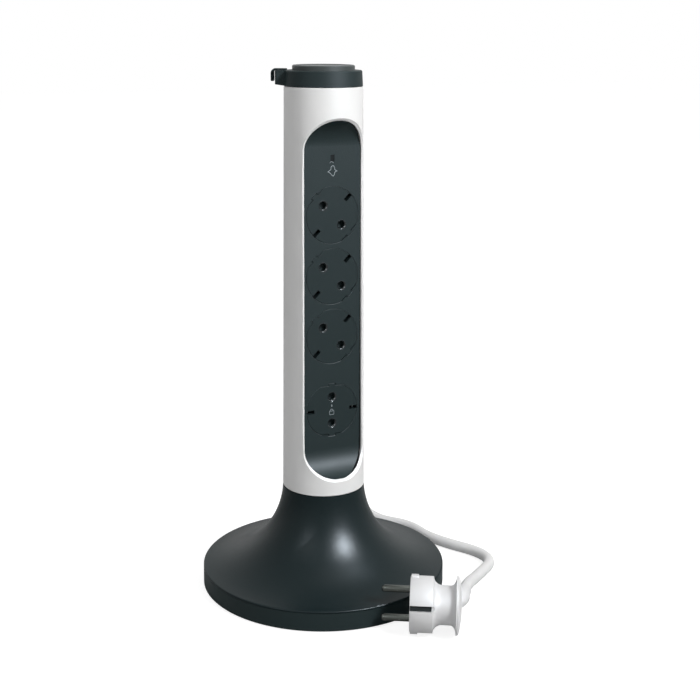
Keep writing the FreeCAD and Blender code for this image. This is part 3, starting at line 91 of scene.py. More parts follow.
@dataclass(frozen=True)
class Socket:
    """A socket's number, its centre's height in millimetres, its turn in degrees and its face's body."""

    number: int
    height: float
    turn: float
    body: Body


SOCKETS = (
    Socket(1, 266.7, -45.0, Body.FACE_1), Socket(2, 225.2, -45.0, Body.FACE_2),
    Socket(3, 183.7, -45.0, Body.FACE_3), Socket(4, 131.35, 0.0, Body.FACE_4))


def in_metres(*millimetres: float) -> Vector:
    """Return a vector in metres from coordinates in millimetres."""
    return Vector(millimetres) / 1000


def shifted(x: float, y: float, z: float) -> Matrix:
    """Return a move by a step in millimetres."""
    return Matrix.Translation(in_metres(x, y, z))


def turned(degrees: float, axis: str = "Z") -> Matrix:
    """Return a turn about an axis."""
    return Matrix.Rotation(math.radians(degrees), 4, axis)


# Shader groups


@dataclass(frozen=True)
class Wiring:
    """Short ways to add nodes to a tree and to join them."""

    tree: bpy.types.NodeTree

    def feed(self, node: Node, label: str | int, source: object) -> None:
        """Link a socket to a node's input, or give the input a value.

        Args:
            node: The node.
            label: The input's name or number.
            source: The socket or the value.
        """
        if isinstance(source, Output):
            self.tree.links.new(source, node.inputs[label])
        else:
            node.inputs[label].default_value = source

    def feed_all(self, node: Node, **sources: object) -> None:
        """Feed inputs by name, with spaces as underscores."""
        for label, source in sources.items():
            self.feed(node, label.replace("_", " "), source)

    def add(self, kind: str, **sources: object) -> Node:
        """Add a node.

        Args:
            kind: The node's type after "ShaderNode".
            **sources: Sockets or values by input name, with spaces as underscores.

        Returns:
            The node.
        """
        node = self.tree.nodes.new(f"ShaderNode{kind}")
        self.feed_all(node, **sources)
        return node

    def math(self, operation: str, first: object, second: object, kind: str = "Math") -> Output:
        """Add a Math or VectorMath node fed by sockets or values.

        Args:
            operation: The node's operation.
            first: What feeds its first input.
            second: What feeds its second input, or its factor when it scales a vector.
            kind: The node's type after "ShaderNode".

        Returns:
            The node's output.
        """
        node = self.add(kind)
        node.operation = operation
        self.feed(node, 0, first)
        self.feed(node, "Scale" if operation == "SCALE" else 1, second)
        return node.outputs[0]

    def noise(self, vector: Output, scale: Output, octaves: float, roughness: float) -> Output:
        """Return the value of a noise texture whose scale is in cells a metre."""
        noise = self.add("TexNoise", Vector=vector, Scale=scale, Detail=octaves, Roughness=roughness)
        return noise.outputs["Fac"]


@dataclass
class ShaderGroups:
    """The effects that several finishes share."""

    trees: dict[str, bpy.types.NodeTree] = field(default_factory=dict)
    # Fine cells of the grain to each coarse one
    fine_cells: float = 2.6

    def build(self) -> None:
        """Make every group once."""
        self._group("grain", self._grain, "Height", {"Cells": 1500.0, "Fine Share": 0.5})
        self._group(
            "tone", self._tone, "Color", {"Color": (0.8, 0.8, 0.8, 1.0), "Amount": 0.03, "Patches": 14.0})
        self._group("lines", self._lines, "Height", {"Lines": 2200.0, "Stretch": (1.0, 1.0, 0.03)})
        self._group(
            "handling", self._handling, "Roughness", {"Roughness": 0.5, "Spread": 0.08, "Patches": 55.0})

    def place(self, wiring: Wiring, name: str, **sources: object) -> Output:
        """Put a group into a material.

        Args:
            wiring: The material's wiring.
            name: The group's name.
            **sources: Sockets or values by input name, with spaces as underscores.

        Returns:
            The group's output.
        """
        node = wiring.add("Group")
        node.node_tree = self.trees[name]
        wiring.feed_all(node, **sources)
        return node.outputs[0]

    def _group(self, name: str, effect: Callable[[Wiring, Outputs], Output], result: str,
               inputs: dict[str, object]) -> None:
        """Make one group.

        Args:
            name: The group's name.
            effect: Adds the group's nodes after its inputs and returns what they put out.
            result: The output's name.
            inputs: The default of each input beside the coordinates: a number, a vector or a colour.
        """
        tree = bpy.data.node_groups.new(name, "ShaderNodeTree")
        tree.interface.new_socket("Vector", in_out="INPUT", socket_type="NodeSocketVector")
        for label, default in inputs.items():
            kind = "Float" if isinstance(default, float) else "Color" if len(default) == 4 else "Vector"
            item = tree.interface.new_socket(label, in_out="INPUT", socket_type=f"NodeSocket{kind}")
            item.default_value = default
        kind = "Color" if result == "Color" else "Float"
        tree.interface.new_socket(result, in_out="OUTPUT", socket_type=f"NodeSocket{kind}")
        wiring = Wiring(tree)
        made = effect(wiring, tree.nodes.new("NodeGroupInput").outputs)
        wiring.feed(tree.nodes.new("NodeGroupOutput"), result, made)
        self.trees[name] = tree

    def _swing(self, wiring: Wiring, noise: Output, amount: Output) -> Output:
        """Return a noise that swings about zero by an amount."""
        return wiring.math("MULTIPLY", wiring.math("SUBTRACT", noise, 0.5), amount)

    def _grain(self, wiring: Wiring, source: Outputs) -> Output:
        """Spark-eroded mould grain: rounded pits of two sizes.

        Args:
            wiring: The group's wiring.
            source: The group's inputs.

        Returns:
            The grain's height.
        """
        pits = wiring.add("TexVoronoi")
        pits.feature = "SMOOTH_F1"
        wiring.feed_all(pits, Smoothness=0.6, Vector=source["Vector"], Scale=source["Cells"])
        cells = wiring.math("MULTIPLY", source["Cells"], self.fine_cells)
        fine = wiring.noise(source["Vector"], cells, octaves=2.0, roughness=0.5)
        weighted = wiring.math("MULTIPLY", fine, source["Fine Share"])
        return wiring.math("ADD", pits.outputs["Distance"], weighted)

    def _tone(self, wiring: Wiring, source: Outputs) -> Output:
        """Slow change of tone over a large moulding.

        Args:
            wiring: The group's wiring.
            source: The group's inputs.

        Returns:
            The drifting colour.
        """
        slow = wiring.noise(source["Vector"], source["Patches"], octaves=3.0, roughness=0.55)
        gain = wiring.math("ADD", self._swing(wiring, slow, source["Amount"]), 1.0)
        return wiring.math("SCALE", source["Color"], gain, "VectorMath")

    def _lines(self, wiring: Wiring, source: Outputs) -> Output:
        """Fine lines of drawn or turned metal along one axis."""
        stretched = wiring.math("MULTIPLY", source["Vector"], source["Stretch"], "VectorMath")
        return wiring.noise(stretched, source["Lines"], octaves=3.0, roughness=0.6)

    def _handling(self, wiring: Wiring, source: Outputs) -> Output:
        """Faint rubbed patches and dust that change the gloss."""
        patches = wiring.noise(source["Vector"], source["Patches"], octaves=5.0, roughness=0.62)
        return wiring.math("ADD", source["Roughness"], self._swing(wiring, patches, source["Spread"]))


GROUPS = ShaderGroups()


# Finishes


@dataclass(frozen=True)
class Finish:
    """What every finish has: a slowly drifting tone and a gloss, even or with rubbed patches."""

    color: Color
    roughness: float = 0.45
    tone_drift: float = 0.03
    tone_patches: float = 14.0
    gloss_spread: float = 0.07
    gloss_patches: float = 55.0
    coat: float = 0.0
    specular: float = 0.5

    def build(self, name: str) -> bpy.types.Material:
        """Make the material.

        Args:
            name: The material's name.

        Returns:
            The material.
        """
        material = bpy.data.materials.new(name)
        material.use_nodes = True
        wiring = Wiring(material.node_tree)
        shader = material.node_tree.nodes["Principled BSDF"]
        place = wiring.add("TexCoord").outputs["Object"]
        tone = GROUPS.place(
            wiring, "tone", Vector=place, Color=(*self.color, 1.0), Amount=self.tone_drift,
            Patches=self.tone_patches)
        gloss: object = self.roughness
        if self.gloss_spread:
            gloss = GROUPS.place(
                wiring, "handling", Vector=place, Roughness=self.roughness, Spread=self.gloss_spread,
                Patches=self.gloss_patches)
        wiring.feed_all(
            shader, Base_Color=tone, Roughness=gloss, Coat_Weight=self.coat,
            Specular_IOR_Level=self.specular)
        self.surface(wiring, shader, place)
        return material

    def surface(self, wiring: Wiring, shader: Node, place: Output) -> None:
        """Leave the surface smooth."""


def relief(wiring: Wiring, shader: Node, height: Output, depth: float) -> None:
    """Bump a shader's normal by a height that is as deep as given in metres."""
    bump = wiring.add("Bump", Distance=depth, Strength=1.0, Height=height)
    wiring.feed(shader, "Normal", bump.outputs["Normal"])


@dataclass(frozen=True)
class MouldedPlastic(Finish):
    """A coloured plastic straight from its mould."""

    grain_cells: float = 1600.0
    grain_depth: float = 0.00002
    grain_fine_share: float = 0.5
    subsurface: float = 0.0
    subsurface_radius: Color = (0.004, 0.004, 0.003)
    subsurface_scale: float = 0.3

    def surface(self, wiring: Wiring, shader: Node, place: Output) -> None:
        """Add the mould's grain, and light that spreads below a pale skin.

        Args:
            wiring: The material's wiring.
            shader: Its shader.
            place: The object's coordinates.
        """
        grain = GROUPS.place(
            wiring, "grain", Vector=place, Cells=self.grain_cells, Fine_Share=self.grain_fine_share)
        relief(wiring, shader, grain, self.grain_depth)
        if self.subsurface:
            wiring.feed_all(
                shader, Subsurface_Weight=self.subsurface, Subsurface_Radius=self.subsurface_radius,
                Subsurface_Scale=self.subsurface_scale)


@dataclass(frozen=True)
class WorkedMetal(Finish):
    """A metal part with drawing lines or a plated skin."""

    tone_drift: float = 0.12
    tone_patches: float = 120.0
    gloss_spread: float = 0.14
    gloss_patches: float = 300.0
    work: Metal = Metal.DRAWN
    line_depth: float = 0.000008

    def surface(self, wiring: Wiring, shader: Node, place: Output) -> None:
        """Add the lines, and bare metal where no paint covers it."""
        wiring.feed(shader, "Metallic", 0.0 if self.work is Metal.PAINTED else 1.0)
        relief(wiring, shader, GROUPS.place(wiring, "lines", Vector=place), self.line_depth)


def plated(color: Color, roughness: float) -> WorkedMetal:
    """Return a plated metal, whose gloss is more even than a drawn one's."""
    return WorkedMetal(color, roughness, gloss_spread=0.05, work=Metal.PLATED)


# By the slot's name, or by a name of their own for pieces that differ from their slot
FINISHES: dict[str, Finish] = {
    "white_plastic": MouldedPlastic((0.755, 0.755, 0.75), 0.42, grain_cells=1300.0, grain_depth=0.000022),
    "anthracite_plastic": MouldedPlastic(
        (0.0112, 0.0205, 0.0215), 0.5, tone_drift=0.06, specular=0.13, grain_cells=1500.0,
        grain_depth=0.00004, grain_fine_share=0.8),
    "base_satin": MouldedPlastic(
        (0.0062, 0.0130, 0.0145), 0.33, tone_drift=0.04, gloss_spread=0.02, specular=0.11,
        grain_cells=2200.0, grain_depth=0.00003, grain_fine_share=0.9),
    "face_plastic": MouldedPlastic(
        (0.0108, 0.0198, 0.0208), 0.46, tone_drift=0.06, specular=0.13, grain_cells=1700.0,
        grain_depth=0.00003, grain_fine_share=0.8),
    "disc_plastic": MouldedPlastic(
        (0.047, 0.056, 0.055), 0.42, specular=0.26, grain_cells=1900.0, grain_depth=0.00003),
    "window_plastic": MouldedPlastic((0.004, 0.0062, 0.0062), 0.5, specular=0.08, grain_depth=0.000004),
    "cord_plastic": MouldedPlastic((0.66, 0.66, 0.66), 0.4, grain_cells=900.0, subsurface=0.05),
    "plug_plastic": MouldedPlastic((0.625, 0.625, 0.63), 0.52, grain_cells=1400.0, subsurface=0.04),
    "gland_rubber": MouldedPlastic((0.72, 0.72, 0.71), 0.55, grain_cells=1000.0, grain_depth=0.00003),
    "foot_rubber": MouldedPlastic((0.02, 0.02, 0.021), 0.75, grain_cells=900.0, grain_depth=0.00006),
    "inner_plastic": MouldedPlastic((0.35, 0.35, 0.34), 0.5),
    "board_green": MouldedPlastic((0.03, 0.17, 0.06), 0.25, coat=0.5, grain_depth=0.000005),
    "varistor_blue": MouldedPlastic((0.05, 0.12, 0.4), 0.3, coat=0.4, grain_cells=500.0),
    "lamp_clear": Finish(
        (0.25, 0.55, 0.25), 0.12, tone_drift=0.2, tone_patches=400.0, gloss_spread=0.0, coat=0.6),
    "printed_mark": MouldedPlastic((0.20, 0.235, 0.25), 0.55, grain_cells=3000.0, grain_depth=0.000004),
    "groove_liner": MouldedPlastic(
        (0.030, 0.040, 0.042), 0.4, specular=0.3, grain_cells=1700.0, grain_depth=0.00001),
    "polished_lip": MouldedPlastic((0.012, 0.016, 0.018), 0.2, grain_cells=1700.0, grain_depth=0.000004),
    "wire_brown": MouldedPlastic((0.14, 0.06, 0.025), 0.35),
    "wire_blue": MouldedPlastic((0.03, 0.08, 0.4), 0.35),
    "wire_green": MouldedPlastic((0.2, 0.4, 0.04), 0.35),
    "nickel": plated((0.72, 0.70, 0.66), 0.22),
    # Nickel darkened far below its own colour: painted shade, standing in for the dark surroundings the pins
    # reflect and for the shade in the earth slots round the brackets
    "painted_shade_nickel": plated((0.085, 0.092, 0.085), 0.12),
    # Nickel darkened nearly to black: painted shade for the plug's earth contacts deep in their side slots
    "contact_painted_shade": plated((0.018, 0.02, 0.02), 0.5),
    "zinc_steel": plated((0.62, 0.62, 0.61), 0.35),
    "contact_brass": WorkedMetal((0.80, 0.60, 0.30), 0.3),
    "spring_steel": WorkedMetal((0.56, 0.56, 0.57), 0.25),
    "black_steel": WorkedMetal((0.03, 0.03, 0.03), 0.5, work=Metal.PAINTED),
}


@dataclass
class Paintwork:
    """Builds each finish once and gives it to the pieces."""

    made: dict[str, bpy.types.Material] = field(default_factory=dict)
    own_looks: tuple[tuple[str, str], ...] = (
        # The earth brackets take nickel darkened as painted shade for the shade in their slots
        ("base_shell", "base_satin"), ("earth_brackets", "painted_shade_nickel"),
        # The plug's earth contacts take nickel darkened nearly to black, as painted shade in the plug's side
        # slots
        ("plug_earth_contacts", "contact_painted_shade"))

    def coat(self, piece: Piece, finish: str) -> None:
        """Give a piece one material, made when a piece first needs it.

        Args:
            piece: The piece.
            finish: The finish's name.
        """
        if finish not in self.made:
            self.made[finish] = FINISHES[finish].build(finish)
        piece.data.materials.clear()
        piece.data.materials.append(self.made[finish])

    def dress_nodes(self) -> None:
        """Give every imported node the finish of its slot, and a few nodes a look of their own."""
        for part in frame["record"]["subparts"]:
            self.coat(frame["nodes"][part["node"]], part["material_slot"])
        for node, finish in self.own_looks:
            self.coat(frame["nodes"][node], finish)


PAINT = Paintwork()


# Mesh helpers


def activate(piece: Piece) -> None:
    """Select one piece alone and make it active.

    Args:
        piece: The piece.
    """
    bpy.ops.object.select_all(action="DESELECT")
    piece.select_set(True)
    bpy.context.view_layer.objects.active = piece


def added(name: str) -> Piece:
    """Name the primitive that was just added and keep its place in its mesh.

    Args:
        name: Its name.

    Returns:
        The piece.
    """
    piece = bpy.context.object
    piece.name = name
    piece.data.name = name
    bpy.ops.object.transform_apply(location=True, rotation=True, scale=True)
    return piece


def removed(piece: Piece) -> None:
    """Delete a piece that was only a model or a cutter."""
    bpy.data.objects.remove(piece, do_unlink=True)


def open_mesh(piece: Piece, kind: str = "VERT") -> None:
    """Edit a piece with all of it selected, by corners, edges or faces.

    Args:
        piece: The piece.
        kind: "VERT", "EDGE" or "FACE".
    """
    activate(piece)
    bpy.ops.object.mode_set(mode="EDIT")
    bpy.ops.mesh.select_mode(type=kind)
    bpy.ops.mesh.select_all(action="SELECT")


def shut_mesh() -> None:
    """Stop editing."""
    bpy.ops.object.mode_set(mode="OBJECT")


def pull(x: float, y: float, z: float) -> None:
    """Extrude the selection by a step in millimetres."""
    bpy.ops.mesh.extrude_region_move(TRANSFORM_OT_translate={"value": in_metres(x, y, z)})


def resize(x: float, y: float, z: float, centre: Vector) -> None:
    """Resize the selection about a centre in metres."""
    bpy.ops.transform.resize(value=(x, y, z), center_override=tuple(centre))


def pick(piece: Piece, kind: str, wanted: Callable[[Vector, Vector], bool]) -> None:
    """Edit a piece with some of its faces or edges selected.

    Args:
        piece: The piece.
        kind: "FACE" or "EDGE".
        wanted: Takes a face's centre and normal, or an edge's two ends, and says whether it is selected.
    """
    open_mesh(piece, kind)
    bpy.ops.mesh.select_all(action="DESELECT")
    shut_mesh()
    if kind == "FACE":
        for face in piece.data.polygons:
            face.select = wanted(face.center, face.normal)
    else:
        for edge in piece.data.edges:
            edge.select = wanted(*(piece.data.vertices[index].co for index in edge.vertices))
    bpy.ops.object.mode_set(mode="EDIT")


def apply_place(piece: Piece, place: Matrix) -> None:
    """Carry a piece to its place and keep that place in its mesh.

    Args:
        piece: The piece.
        place: Where it goes from where it is.
    """
    activate(piece)
    piece.matrix_world = place @ piece.matrix_world
    bpy.ops.object.transform_apply(location=True, rotation=True, scale=True)


def close_up(piece: Piece, smooth_angle: float = 35.0) -> None:
    """Merge doubles, turn the faces outwards and shade the piece by angle.

    Args:
        piece: The piece.
        smooth_angle: Edges sharper than this stay sharp, in degrees.
    """
    open_mesh(piece)
    bpy.ops.mesh.remove_doubles(threshold=0.000001)
    bpy.ops.mesh.normals_make_consistent(inside=False)
    shut_mesh()
    bpy.ops.object.shade_smooth_by_angle(angle=math.radians(smooth_angle))


def apply_modifier(piece: Piece, kind: str, **settings: object) -> None:
    """Add a modifier with its settings and apply it.

    Args:
        piece: The piece.
        kind: The modifier's type.
        **settings: Its settings by name.
    """
    activate(piece)
    modifier = piece.modifiers.new(kind.lower(), kind)
    for label, value in settings.items():
        setattr(modifier, label, value)
    bpy.ops.object.modifier_apply(modifier=modifier.name)


def drawn_bar(name: str, rows: Sequence[tuple[float, ...]], corners: int, hollow: bool = False) -> Piece:
    """Model a bar along +X by drawing out a disc's face row by row, or a ring from a circle.

    Args:
        name: The piece's name.
        rows: Place along X and radius of each section, or half width in Y and half height in Z, in
            millimetres. A ring's last row is its first.
        corners: Corners of each section.
        hollow: True for a ring.

    Returns:
        The piece.
    """
    rows = [(row[0], row[1], row[-1]) for row in rows]
    start, half_y, half_z = rows[0]
    bpy.ops.mesh.primitive_circle_add(
        vertices=corners, radius=1.0, fill_type="NOTHING" if hollow else "NGON",
        location=in_metres(start, 0, 0), rotation=(0, math.pi / 2, 0))
    bpy.context.object.scale = (half_z / 1000, half_y / 1000, 1.0)
    piece = added(name)
    open_mesh(piece)
    for (here, old_y, old_z), (there, new_y, new_z) in zip(rows, rows[1:]):
        pull(there - here, 0, 0)
        resize(1.0, new_y / old_y, new_z / old_z, in_metres(there, 0, 0))
    shut_mesh()
    return piece


def drawn_ring(name: str, section: Outline, front: float, corners: int) -> Piece:
    """Model a ring round an axis along Y from its section's depths behind the front and radii.

    Args:
        name: The ring's name.
        section: Depth behind the front and radius of each corner, in millimetres.
        front: Place of the front along Y, in millimetres.
        corners: Corners round the ring.

    Returns:
        The ring.
    """
    ring = drawn_bar(name, [(front + depth, radius) for depth, radius in section], corners, hollow=True)
    apply_place(ring, turned(90))
    return ring


def drawn_plate(name: str, points: Outline, thickness: float, stroke: float = 0.0) -> Piece:
    """Model a thin plate facing -Y by drawing its outline from corner to corner.

    Args:
        name: The piece's name.
        points: The outline's corners as (x, z), in millimetres.
        thickness: The plate's thickness towards -Y, in millimetres.
        stroke: Width of the rim that stays when the middle is taken out, or 0 for a full plate.

    Returns:
        The piece, with its back in the plane y = 0.
    """
    first = points[0]
    bpy.ops.mesh.primitive_plane_add(size=0.001, location=in_metres(first[0], 0, first[1]))
    piece = added(name)
    open_mesh(piece)
    bpy.ops.mesh.merge(type="CENTER")
    for here, there in zip(points, [*points[1:], first]):
        pull(there[0] - here[0], 0, there[1] - here[1])
    bpy.ops.mesh.select_all(action="SELECT")
    bpy.ops.mesh.remove_doubles(threshold=TOUCHING)
    bpy.ops.mesh.edge_face_add()
    if stroke:
        bpy.ops.mesh.select_mode(type="FACE")
        bpy.ops.mesh.select_all(action="SELECT")
        bpy.ops.mesh.inset(thickness=stroke / 1000)
        bpy.ops.mesh.delete(type="FACE")
    bpy.ops.mesh.select_all(action="SELECT")
    pull(0, -thickness, 0)
    shut_mesh()
    return piece


def copied(piece: Piece, name: str) -> Piece:
    """Copy a piece, with a mesh of its own.

    Args:
        piece: The piece.
        name: The copy's name.

    Returns:
        The copy.
    """
    twin = piece.copy()
    twin.data = piece.data.copy()
    twin.name = name
    twin.data.name = name
    bpy.context.scene.collection.objects.link(twin)
    return twin


def joined(pieces: Sequence[Piece], name: str) -> Piece:
    """Join pieces into the first one and name it.

    Args:
        pieces: The pieces.
        name: The name of the whole.

    Returns:
        The whole.
    """
    activate(pieces[0])
    for piece in pieces[1:]:
        piece.select_set(True)
    bpy.ops.object.join()
    return added(name)


def paired(piece: Piece, offset: float, name: str) -> Piece:
    """Join two copies of a piece, one above and one below the origin by an offset in millimetres.

    Args:
        piece: The piece.
        offset: How far each copy goes, in millimetres.
        name: The name of the pair.

    Returns:
        The pair.
    """
    lower = copied(piece, "lower_copy")
    apply_place(lower, shifted(0, 0, -offset))
    apply_place(piece, shifted(0, 0, offset))
    pair = joined([piece, lower], name)
    close_up(pair)
    return pair


def carve(piece: Piece, cutter: Piece) -> None:
    """Cut a closed cutter out of a piece and delete the cutter.

    Args:
        piece: The piece.
        cutter: The cutter.
    """
    close_up(cutter)
    apply_modifier(piece, "BOOLEAN", operation="DIFFERENCE", solver="EXACT", object=cutter)
    removed(cutter)


def settle(piece: Piece, slot: str, *nodes: str, place: Matrix = HERE, body: Body = Body.TOWER,
           finish: str = "") -> None:
    """Place and dress a finished piece, let it ride and hide the nodes that it stands for.

    Args:
        piece: The piece.
        slot: Its material slot.
        *nodes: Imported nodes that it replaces.
        place: Where it goes from the place it was modelled in.
        body: The body it rides on.
        finish: Its finish where that isn't the slot's own.
    """
    apply_place(piece, place)
    PAINT.coat(piece, finish or slot)
    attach(piece, body.value)
    if nodes:
        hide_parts(*nodes)
    LOG.info("%s on %s", piece.name, body.value)


def listed(name: str, data: bpy.types.ID) -> Piece:
    """Add an object to the scene that shows a curve, a lamp or a camera.

    Args:
        name: The object's name.
        data: The curve, lamp or camera.

    Returns:
        The object.
    """
    piece = bpy.data.objects.new(name, data)
    bpy.context.scene.collection.objects.link(piece)
    return piece


def drawn_wire(name: str, kind: str, points: Sequence[Vector], radius: float, roundness: int) -> Piece:
    """Draw a round wire as a curve.

    Args:
        name: The piece's name.
        kind: "NURBS" for a smooth spline, or "POLY" for one through its points.
        points: The curve's points, in millimetres.
        radius: The wire's radius, in millimetres.
        roundness: How finely its section is cut.

    Returns:
        The piece.
    """
    curve = bpy.data.curves.new(name, "CURVE")
    curve.dimensions = "3D"
    curve.bevel_depth = radius / 1000
    curve.bevel_resolution = roundness
    curve.use_fill_caps = True
    spline = curve.splines.new(kind)
    spline.points.add(len(points) - 1)
    for place, point in zip(spline.points, points):
        place.co = (*(point / 1000), 1.0)
    return listed(name, curve)


def bend(degrees: float, along: float, right: float, up: float) -> Vector:
    """Find a point given along a line that is turned from +X, to its right and up.

    Args:
        degrees: The line's turn.
        along: Distance along the line.
        right: Distance to its right.
        up: Height.

    Returns:
        The point.
    """
    turn = math.radians(degrees)
    forward = Vector((math.cos(turn), math.sin(turn), 0))
    sideways = Vector((math.sin(turn), -math.cos(turn), 0))
    return forward * along + sideways * right + Vector((0, 0, up))


# Cord


@dataclass
class MainsCord:
    """The cord from the base's gland through its tied hank to the plug."""

    radius: float = 4.0
    # Height of the cord's centre where it lies on the floor
    low: float = radius + 0.06
    gland_height: float = 7.6
    gland_end: float = 113.6
    gland_straight: float = 9.0
    lead_steps: tuple[float, ...] = (-28.0, -8.0, 15.0)
    lead_side: float = -2.5
    hank_near: float = 166.0
    hank_run: float = 100.0
    hank_fold: float = 26.0
    hank_waist: float = 5.0
    hank_pitch: float = 8.6
    hank_loops: int = 3
    fold_points: int = 5
    bend_reach: float = 14.7
    length: float = 1.4
    exit_reach: float = 8.0
    exit_straight: float = 21.6
    free_points: tuple[Point, ...] = (
        (24.4, 113.4, 13.9), (38.8, 98.0, 4.7), (66.8, 88.6, low), (81.2, 60.8, low), (129.6, 28.3, low),
        (107.0, -24.1, 10.3))
    sleeve_start: Point = (89.085, -84.323, 19.4)
    sleeve_turn: float = 74.7
    sleeve_dip: float = 5.6
    sleeve_length: float = 30.5
    sleeve_straight: float = 16.0
    smoothness: int = 10
    on_the_cord: tuple[str, ...] = (
        "plug_moulding", "plug_pin_pair", "plug_earth_mouth", "plug_bend_relief", "plug_earth_contacts",
        "hank_tie", "tie_pull_tab")

    def seen(self, x: float, y: float, z: float) -> Vector:
        """Return a point given as right, away and up in the photograph's view."""
        return bend(-VIEW_TURN, x, -y, z)

    def hank(self, along: float, side: float, height: float) -> Vector:
        """Return a point given along the hank, to its right side and up."""
        return bend(HANK_TURN, along, side, height)

    def run_points(self, start_height: float, end_height: float, outward: bool) -> list[Vector]:
        """Lay out one run through the waist.

        Args:
            start_height: Height where the run starts.
            end_height: Height where it ends.
            outward: True for a run away from the tower on the left, False for one back on the right.

        Returns:
            Four points in the order of travel.
        """
        middle = self.hank_near + self.hank_run / 2
        far = self.hank_near + self.hank_run
        places = [
            (self.hank_near + self.bend_reach, self.hank_fold), (middle - self.bend_reach, self.hank_waist),
            (middle + self.bend_reach, self.hank_waist), (far - self.bend_reach, self.hank_fold)]
        side = -1 if outward else 1
        climb = (end_height - start_height) / (len(places) - 1)
        return [
            self.hank(along, side * offset, start_height + climb * step)
            for step, (along, offset) in enumerate(places[::-side])]

    def fold_arc(self, centre: float, height: float, way: int) -> list[Vector]:
        """Lay out one fold.

        Args:
            centre: Place of the fold's centre along the hank.
            height: Height of the cord there.
            way: 1 for the far fold, which turns left to right, and -1 for the near one.

        Returns:
            Points circumscribed about the fold, in the order of travel.
        """
        step = math.pi / self.fold_points
        reach = way * self.hank_fold / math.cos(step / 2)
        angles = [step * (k + 0.5) - math.pi / 2 for k in range(self.fold_points)]
        return [self.hank(centre + reach * math.cos(a), reach * math.sin(a), height) for a in angles]

    def hank_points(self) -> list[Vector]:
        """Lay out the loops, from the first waist to the exit.

        Returns:
            The points in the order of travel.
        """
        points = self.run_points(self.low, self.low, True)[1:]
        for loop in range(self.hank_loops):
            level = self.low + loop * self.hank_pitch
            above = level + self.hank_pitch
            points += self.fold_arc(self.hank_near + self.hank_run, level, 1)
            points += self.run_points(level, above, False)
            if loop < self.hank_loops - 1:
                points += self.fold_arc(self.hank_near, above, -1)
                points += self.run_points(above, above, True)
        return points

    def sleeve_line(self) -> tuple[Vector, Vector]:
        """Find where the plug's sleeve starts and heads.

        Returns:
            The start in millimetres, and the heading.
        """
        turn, dip = math.radians(self.sleeve_turn), math.radians(self.sleeve_dip)
        heading = self.seen(math.cos(turn), math.sin(turn), -math.tan(dip)).normalized()
        return self.seen(*self.sleeve_start), heading

    def points(self) -> list[Vector]:
        """Lay out the cord, from the gland to the plug's sleeve.

        Returns:
            The points, in millimetres.
        """
        lead = [self.hank(self.gland_end + step, 0, self.gland_height) for step in (0, self.gland_straight)]
        lead += [self.hank(self.hank_near + step, self.lead_side, self.low) for step in self.lead_steps]
        top = self.low + self.hank_loops * self.hank_pitch
        leave = self.hank_near - self.exit_reach
        out = [self.hank(leave - step, self.hank_fold, top) for step in (0, self.exit_straight)]
        out += [self.seen(*point) for point in self.free_points]
        start, heading = self.sleeve_line()
        out += [start + heading * (self.sleeve_length + step) for step in (self.sleeve_straight, 0)]
        return lead + self.hank_points() + out

    def build(self) -> None:
        points = self.points()
        piece = drawn_wire("mains_cord", "NURBS", points, self.radius, roundness=6)
        piece.data.resolution_u = self.smoothness
        spline = piece.data.splines[0]
        spline.resolution_u = self.smoothness
        spline.order_u = 3
        spline.use_endpoint_u = True
        settle(piece, "cord_plastic", "cord_lead", "cord_hank", "cord_run")


# Plug


